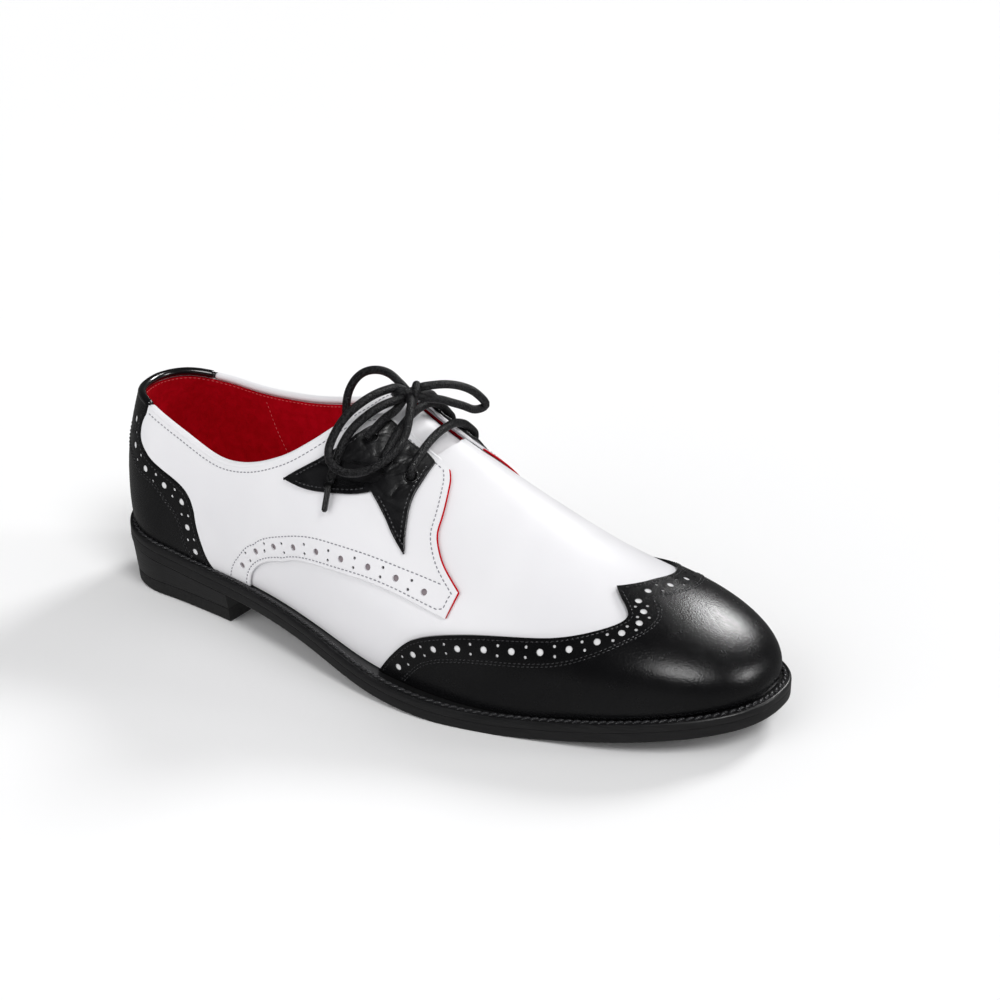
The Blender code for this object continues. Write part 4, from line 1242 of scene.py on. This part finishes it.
def fine_upper():
    outline = upper_outline()
    holes = across_eyelets(EYELET_RADIUS)
    made = panel("vamp", outline, place_creased, -0.9, 0.0, "vamp", 3.0, holes,
                 seams=(0,), bevel=0.3)
    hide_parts("upper")
    panel("lining", outline, place_across, -WALL, -0.95, "sock", 3.4, holes,
          seams=(0,))
    seam = resample(smooth_line(np.array(LINING_SEAM) * SIDE_SCALE, 40), 0.8)
    rows = []
    for side in SIDES:
        collar = collar_line(side, 0.0, COLLAR_END - 0.03, 200, ROLL_ROOM + 0.003) * SIDE_SCALE
        rows += [line_3d(flat, place_side(side), -WALL, -0.5) for flat in (collar, seam)]
    stitches("lining_stitches", rows, "sock", "lining_thread", 2.0, 0.7, 0.16)


def fine_tongue():
    top = smooth_line(TONGUE, 40)
    edge = [(t, a - 1) for t, a in top] + [(t, 1 - a) for t, a in top[-2::-1]]
    foot = TONGUE_FRONT_EDGE - 1
    outline = across([*edge, (TONGUE_FRONT, -foot), (TONGUE_FRONT, foot)])
    low = -WALL - 3.2
    high = -WALL - 0.7
    made = panel("tongue_face", outline, place_across, high - 1.2, high, "tongue",
                 2.6, bevel=0.4)
    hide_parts("tongue")
    panel("tongue_lining", outline, place_across, low, high - 1.25, "sock", 3.0)
    row = line_3d(resample(across(edge) + (2.6, 0), 1.0), place_across, high)
    stitches("tongue_stitches", [row], "tongue", "grey_thread", 2.0, 0.72, 0.2)


def star_place(side):
    """The star's leather lies in small folds."""
    def place(points, out):
        u, v = points.T
        lift = np.sin(u * 0.9 + 1.3 * np.sin(v * 0.5)) * np.sin(v * 0.7 + 0.6 * np.sin(u * 0.4))
        return place_side(side)(points, out + 0.16 * lift)
    return place


def fine_star(name, side, node):
    arms = [smooth_line(arm, 22) * SIDE_SCALE for arm in STAR]
    outline = np.concatenate([arm[:-1] for arm in arms])
    inner = 2 * CURVED_GAP + LEATHER
    outer = inner + LEATHER
    place = star_place(side)
    made = panel(name, outline, place, inner, outer, "star", 1.8,
                 eyelet_loops(EYELET_RADIUS, place), bevel=0.4)
    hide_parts(node)
    rows = [line_3d(offset(arm, 1.5, place)[2:-2], place, outer) for arm in arms]
    stitches(name + "_stitches", rows, "star", "star_thread", *BLACK_STITCH)
    for i, arm in enumerate(arms):
        piping(name + "_edge_%d" % (i + 1), beside(arm, 0.2), place, inner + 0.45, 0.6, 0.5,
               "star")


def fine_roll(name, signed_runs, slot, node, swell=1.0):
    """A rolled edge over runs along the collar, which are negative on the lateral side."""
    side = np.where(signed_runs < 0, LATERAL, MEDIAL)
    t = np.abs(signed_runs)
    a = np.where(side < 0, collar_heights[LATERAL](t), collar_heights[MEDIAL](t)) - ROLL_ROOM
    s = t * LENGTH
    edge = upper_point(s, a, side, -0.2)
    up = unit(upper_point(s, a + 0.02, side, -0.2) - edge)
    along = unit(np.gradient(edge, axis=0))
    up = unit(up - along * np.sum(up * along, axis=1, keepdims=True))
    centres = edge + up * (ROLL_HALF_UP * swell + GAP * 0.4)
    made = tube(name, centres, up, ROLL_HALF_UP * swell, ROLL_HALF_OUT * swell, slot, 16)
    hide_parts(node)


def fine_eyelets():
    """A pressed ring at the inside of each hole, where the lace goes through, with a black disc of
    painted shade in the hole.
    """
    over = 2 * CURVED_GAP + 2 * LEATHER
    for side, label in ((LATERAL, "lateral"), (MEDIAL, "medial")):
        place = place_side(side)
        for i, middle in enumerate(np.array(EYELETS) * SIDE_SCALE):
            # The black disc stands for the shade inside the eyelet: painted shade.
            discs("eyelet_back_%s_%d" % (label, i + 1), [middle], EYELET_RADIUS + 0.2, place,
                  CURVED_GAP + 0.3, "star")
            ring = circle(middle, EYELET_RADIUS + 0.25, place, 24)
            piping("eyelet_%s_%d" % (label, i + 1), ring, place, over, 0.35, 0.45, "star", 8, True)


# Laces: the same points as in the part's source
def lace_curve(name, route):
    """A free run of the lace as a round curve, with the points that it goes through."""
    placed = to_frame(resample(smooth_line(np.array(route, float), 60), 1.2))
    curve = bpy.data.curves.new(name, "CURVE")
    curve.dimensions = "3D"
    curve.bevel_depth = LACE_RADIUS * MM
    curve.bevel_resolution = 4
    curve.use_fill_caps = True
    strand = curve.splines.new("POLY")
    strand.points.add(len(placed) - 1)
    for point, place in zip(strand.points, placed):
        point.co = (*place, 1.0)
    curve.materials.append(LOOKS["lace"])
    made = in_scene(name, curve)
    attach(made, "root")
    return made, placed


def fine_laces():
    knot = lace_knot()
    made = {}
    for node, route in LACE_ROUTES.items():
        made[node] = lace_curve(node.replace("lace_", "bow_"), route)
        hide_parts(node)
    for node, route in AGLETS.items():
        line = resample(np.array(route, float), 0.8)
        outward = np.tile((0.0, 1.0, 0.2), (len(line), 1))
        tube(node.replace("lace_", "tip_"), line, outward, AGLET_RADIUS,
                          AGLET_RADIUS, "aglet", 14)
        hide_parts(node)
    for node in ("lace_loop_outer", "lace_loop_inner", "lace_end_outer", "lace_end_inner"):
        piece, placed = made[node]
        float(run_lengths(placed)[-1])
    lace_bars()


def lace_knot():
    """The knot: three wraps of the lace over the runs that meet in it."""
    centre = np.array(KNOT_CENTRE)
    a = radians(VIEW_AZIMUTH)
    right = np.array([cos(a), sin(a), 0.0])
    back = np.array([sin(a), -cos(a), 0.0])
    up = np.array([0.0, 0.0, 1.0])
    points = []
    faces = []
    sides = 12

    def run(line, along, normal, closed):
        """A round run of lace; normal is any direction that the line never takes."""
        first = unit(np.cross(along, normal)) * LACE_RADIUS
        second = unit(np.cross(along, first)) * LACE_RADIUS
        faces.extend(sleeve(len(points), len(line), sides, closed, capped=False))
        points.extend(oval_rings(line, first, second, sides))

    wraps = [
        (right * 2.4 - up * 0.3, unit(up + right * 0.2), back, 3.5, 3.2),
        (up * 0.2 - right * 1.4, unit(right + up * 0.12), unit(back + up * 0.35), 4.0, 3.3),
        (-right * 0.6 - up * 0.8, unit(right - up * 0.5), back, 2.6, 2.2),
    ]
    turn = np.linspace(0, 2 * pi, 40, endpoint=False)[:, None]
    for middle, first, second, reach_first, reach_second in wraps:
        line = first * reach_first * np.cos(turn) + second * reach_second * np.sin(turn)
        along = np.roll(line, -1, axis=0) - np.roll(line, 1, axis=0)
        run(centre + middle + line, along, np.cross(first, second), True)
    t = np.linspace(0, 1, 10)[:, None]
    for route in LACE_ROUTES.values():
        route = np.array(route, float)
        for end, before in ((route[0], route[1]), (route[-1], route[-2])):
            if np.linalg.norm(end - centre) > KNOT_REACH:
                continue
            leaving = unit(end - before)
            onward = end + leaving * 2.0
            goal = centre + (end - centre) * 0.2
            line = (1 - t) ** 2 * (end - leaving * 0.6) + 2 * t * (1 - t) * onward + t ** 2 * goal
            normal = np.cross(line[-1] - line[0], onward - line[0])
            if np.linalg.norm(normal) < 0.1:
                normal = np.cross(line[-1] - line[0], up)
            run(line, np.gradient(line, axis=0), normal, False)
    made = add_piece("bow_knot", points, faces, "lace")
    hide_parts("lace_knot")
    return made


def lace_bars():
    """Bars over the crown, turning down into their eyelets."""
    bend = LACE_RADIUS + 0.4
    over_star = 2 * CURVED_GAP + 2 * LEATHER + LACE_RADIUS + 0.5
    over_quarter = CURVED_GAP + LEATHER + LACE_RADIUS + 0.5
    low = over_star - bend
    angle = np.linspace(0, pi / 2, 7)[1:]
    for name, (t, a) in (("bar_middle", EYELETS[1]), ("bar_front", EYELETS[2])):
        reach = half_girth(t * LENGTH) * (1 - a)
        v = np.linspace(0, reach - bend, 24)
        share = np.clip(v / (0.6 * reach), 0, 1)
        height = np.concatenate([over_quarter + (over_star - over_quarter) * share,
                                 low + bend * np.cos(angle), [low - 1.6, low - 3.2]])
        v = np.concatenate([v, reach - bend + bend * np.sin(angle), [reach, reach]])
        v = np.concatenate([-v[::-1], v[1:]])
        height = np.concatenate([height[::-1], height[1:]])
        flat = np.stack([np.full(len(v), t * LENGTH), v], axis=1)
        outward = np.tile((1.0, 0.0, 0.3), (len(v), 1))
        made = tube(name, place_across(flat, height), outward, LACE_RADIUS, LACE_RADIUS,
                    "lace", 14)
        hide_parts("lace_" + name)


# Soles
def fine_stations(end=None):
    runs = np.concatenate([np.linspace(0, HEEL_RUN, 40), np.linspace(HEEL_RUN, BODY_END, 80)[1:],
                           np.linspace(BODY_END, TOE_END, 50)[1:]])
    return runs if end is None else np.append(runs[runs < end - 0.5], end)


def fine_slab(name, rings, slot, node, end=None, hollow=False):
    """A sole piece through rings of (inset, base, height over it), from the heel to end."""
    runs = fine_stations(end)
    loops = [ring_points(runs, *ring) for ring in rings]
    size = len(loops[0])
    top = (len(rings) - 1) * size
    faces = []
    for k in range(len(rings) if hollow else len(rings) - 1):
        low = k * size
        high = (k + 1) % len(rings) * size
        for i in range(size):
            j = (i + 1) % size
            faces.append((low + i, low + j, high + j, high + i))
    if not hollow:
        for i in range(len(runs) - 1):
            j = size - 1 - i
            faces.append((i, i + 1, j - 1, j))
            faces.append((top + i, top + j, top + j - 1, top + i + 1))
    made = add_piece(name, np.concatenate(loops), faces, slot, sharp=SOLE_SHARP)
    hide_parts(node)


def ground(x):
    return np.zeros(np.shape(x))


def fine_soles():
    inner = WALL + 1.0
    low = -WELT_THICK
    fine_slab("welt_strip", [
        (0.05, rim, low), (0.0, rim, low + 0.1), (0.0, rim, -1.3), (0.1, rim, -0.7),
        (0.35, rim, -0.25), (0.8, rim, 0.0), (1.1, rim, -0.12), (inner, rim, -0.12, foot_point),
        (inner, rim, low, foot_point)], "sole", "welt", hollow=True)
    top = low - GAP * 0.3
    fine_slab("sole_plate", [
        (0.55, under, 0.0), (0.25, under, 0.1), (0.05, under, 0.35), (0.0, under, 0.8),
        (0.0, rim, top - 0.5), (0.0, rim, top - 0.1), (0.05, rim, top)],
        "sole", "outsole")
    heel_end = BREAST + HEEL_RUN - HEEL_CENTRE
    low = LIFT + GAP * 0.4
    top = -GAP * 0.4
    fine_slab("heel_block", [
        (1.95, ground, low), (1.75, ground, low + 0.12), (0.35, under, top - 0.12),
        (0.55, under, top)], "sole", "heel_stack", heel_end)
    fine_slab("heel_lift", [
        (3.0, ground, 0.0), (2.5, ground, 0.25), (2.2, ground, 0.8), (1.8, ground, LIFT - 0.12),
        (2.0, ground, LIFT)], "rubber", "heel_top_piece", heel_end)
    rows = []
    runs = np.linspace(0, TOE_END - 0.01, 500)
    for side in SIDES:
        width = welt_width(sole_point(runs, side, 2.0)[0])
        x, y = sole_point(runs, side, 0.48 * width)
        line = resample(np.stack([x, y, rim(x) + 0.05], axis=1), 0.8)
        rows.append((line, np.tile((0.0, 0.0, 1.0), (len(line), 1))))
    stitches("welt_stitches", rows, "sole", "welt_thread", 3.3, 1.2, 0.66, 0.34)


# Floor and light
FLOOR_SIZE = 3.0


def make_floor():
    mesh = bpy.data.meshes.new("floor")
    r = FLOOR_SIZE
    mesh.from_pydata([(-r, -r, 0), (r, -r, 0), (r, r, 0), (-r, r, 0)], [], [(0, 1, 2, 3)])
    s = Shader("floor")
    s.colour(s.noise(2.0), (0.93, 0.93, 0.935), (0.94, 0.94, 0.945))
    s.put(Roughness=0.8, Specular_IOR_Level=0.1)
    mesh.materials.append(s.made)
    floor = in_scene("floor", mesh)
    floor.visible_glossy = False


# Soft lamps, as suns: name, bearing from the toe's direction, height, width in degrees, strength
LAMPS = [
    ("key", -25.0, 52.0, 24.0, 1.15),
    ("back", 82.0, 36.0, 17.0, 1.4),
    ("toe", 30.0, 21.0, 12.0, 0.5),
    ("fill", -108.0, 24.0, 60.0, 1.25),
    ("dome", 0.0, 88.0, 160.0, 0.92),
]
UNSEEN = ("fill", "dome")    # lamps without a mirror image
SKY_ABOVE = 0.03
SKY_BELOW = 0.16             # seen only in what faces down, as the pale floor's reflection


def make_lights():
    for name, bearing, height, width, strength in LAMPS:
        data = bpy.data.lights.new(name, "SUN")
        data.angle = radians(width)
        data.energy = strength
        lamp = in_scene(name, data)
        lamp.visible_glossy = name not in UNSEEN
        b = radians(bearing)
        h = radians(height)
        from_lamp = -Vector((cos(h) * cos(b), cos(h) * sin(b), sin(h)))
        lamp.rotation_mode = "QUATERNION"
        lamp.rotation_quaternion = from_lamp.to_track_quat("-Z", "Y")
    world = bpy.data.worlds.new("studio")
    world.use_nodes = True
    nodes = world.node_tree.nodes
    direction = nodes.new("ShaderNodeTexCoord").outputs["Generated"]
    height = feed(nodes.new("ShaderNodeSeparateXYZ"), Vector=direction)["Z"]
    fade = feed(nodes.new("ShaderNodeMapRange"), From_Min=-0.5, From_Max=0.35, To_Min=SKY_BELOW,
                To_Max=SKY_ABOVE, Value=height)
    feed(nodes["Background"], Color=(1.0, 1.0, 1.0, 1), Strength=fade["Result"])
    bpy.context.scene.world = world
    bpy.context.scene.view_settings.view_transform = "Standard"


def dress():
    make_camera()
    make_looks()
    fine_laces()
    fine_soles()
    fine_upper()
    fine_tongue()
    fine_quarter("quarter_outer", LATERAL, "quarter_lateral")
    fine_quarter("quarter_inner", MEDIAL, "quarter_medial")
    fine_counter()
    fine_toe_cap()
    fine_star("star_outer", LATERAL, "star_lateral")
    fine_star("star_inner", MEDIAL, "star_medial")
    outer_end, inner_end = ROLL_ENDS
    fine_roll("roll_back", np.linspace(-outer_end, inner_end, 70), "roll",
              "collar_roll_back", 1.12)
    fine_roll("roll_outer", -np.linspace(outer_end + 0.002, COLLAR_END, 90), "quarter",
              "collar_roll_lateral")
    fine_roll("roll_inner", np.linspace(inner_end + 0.002, COLLAR_END, 90), "quarter",
              "collar_roll_medial")
    fine_eyelets()
    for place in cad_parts["insole"].material_slots:
        place.material = LOOKS["sock"]
    make_floor()
    make_lights()


dress()
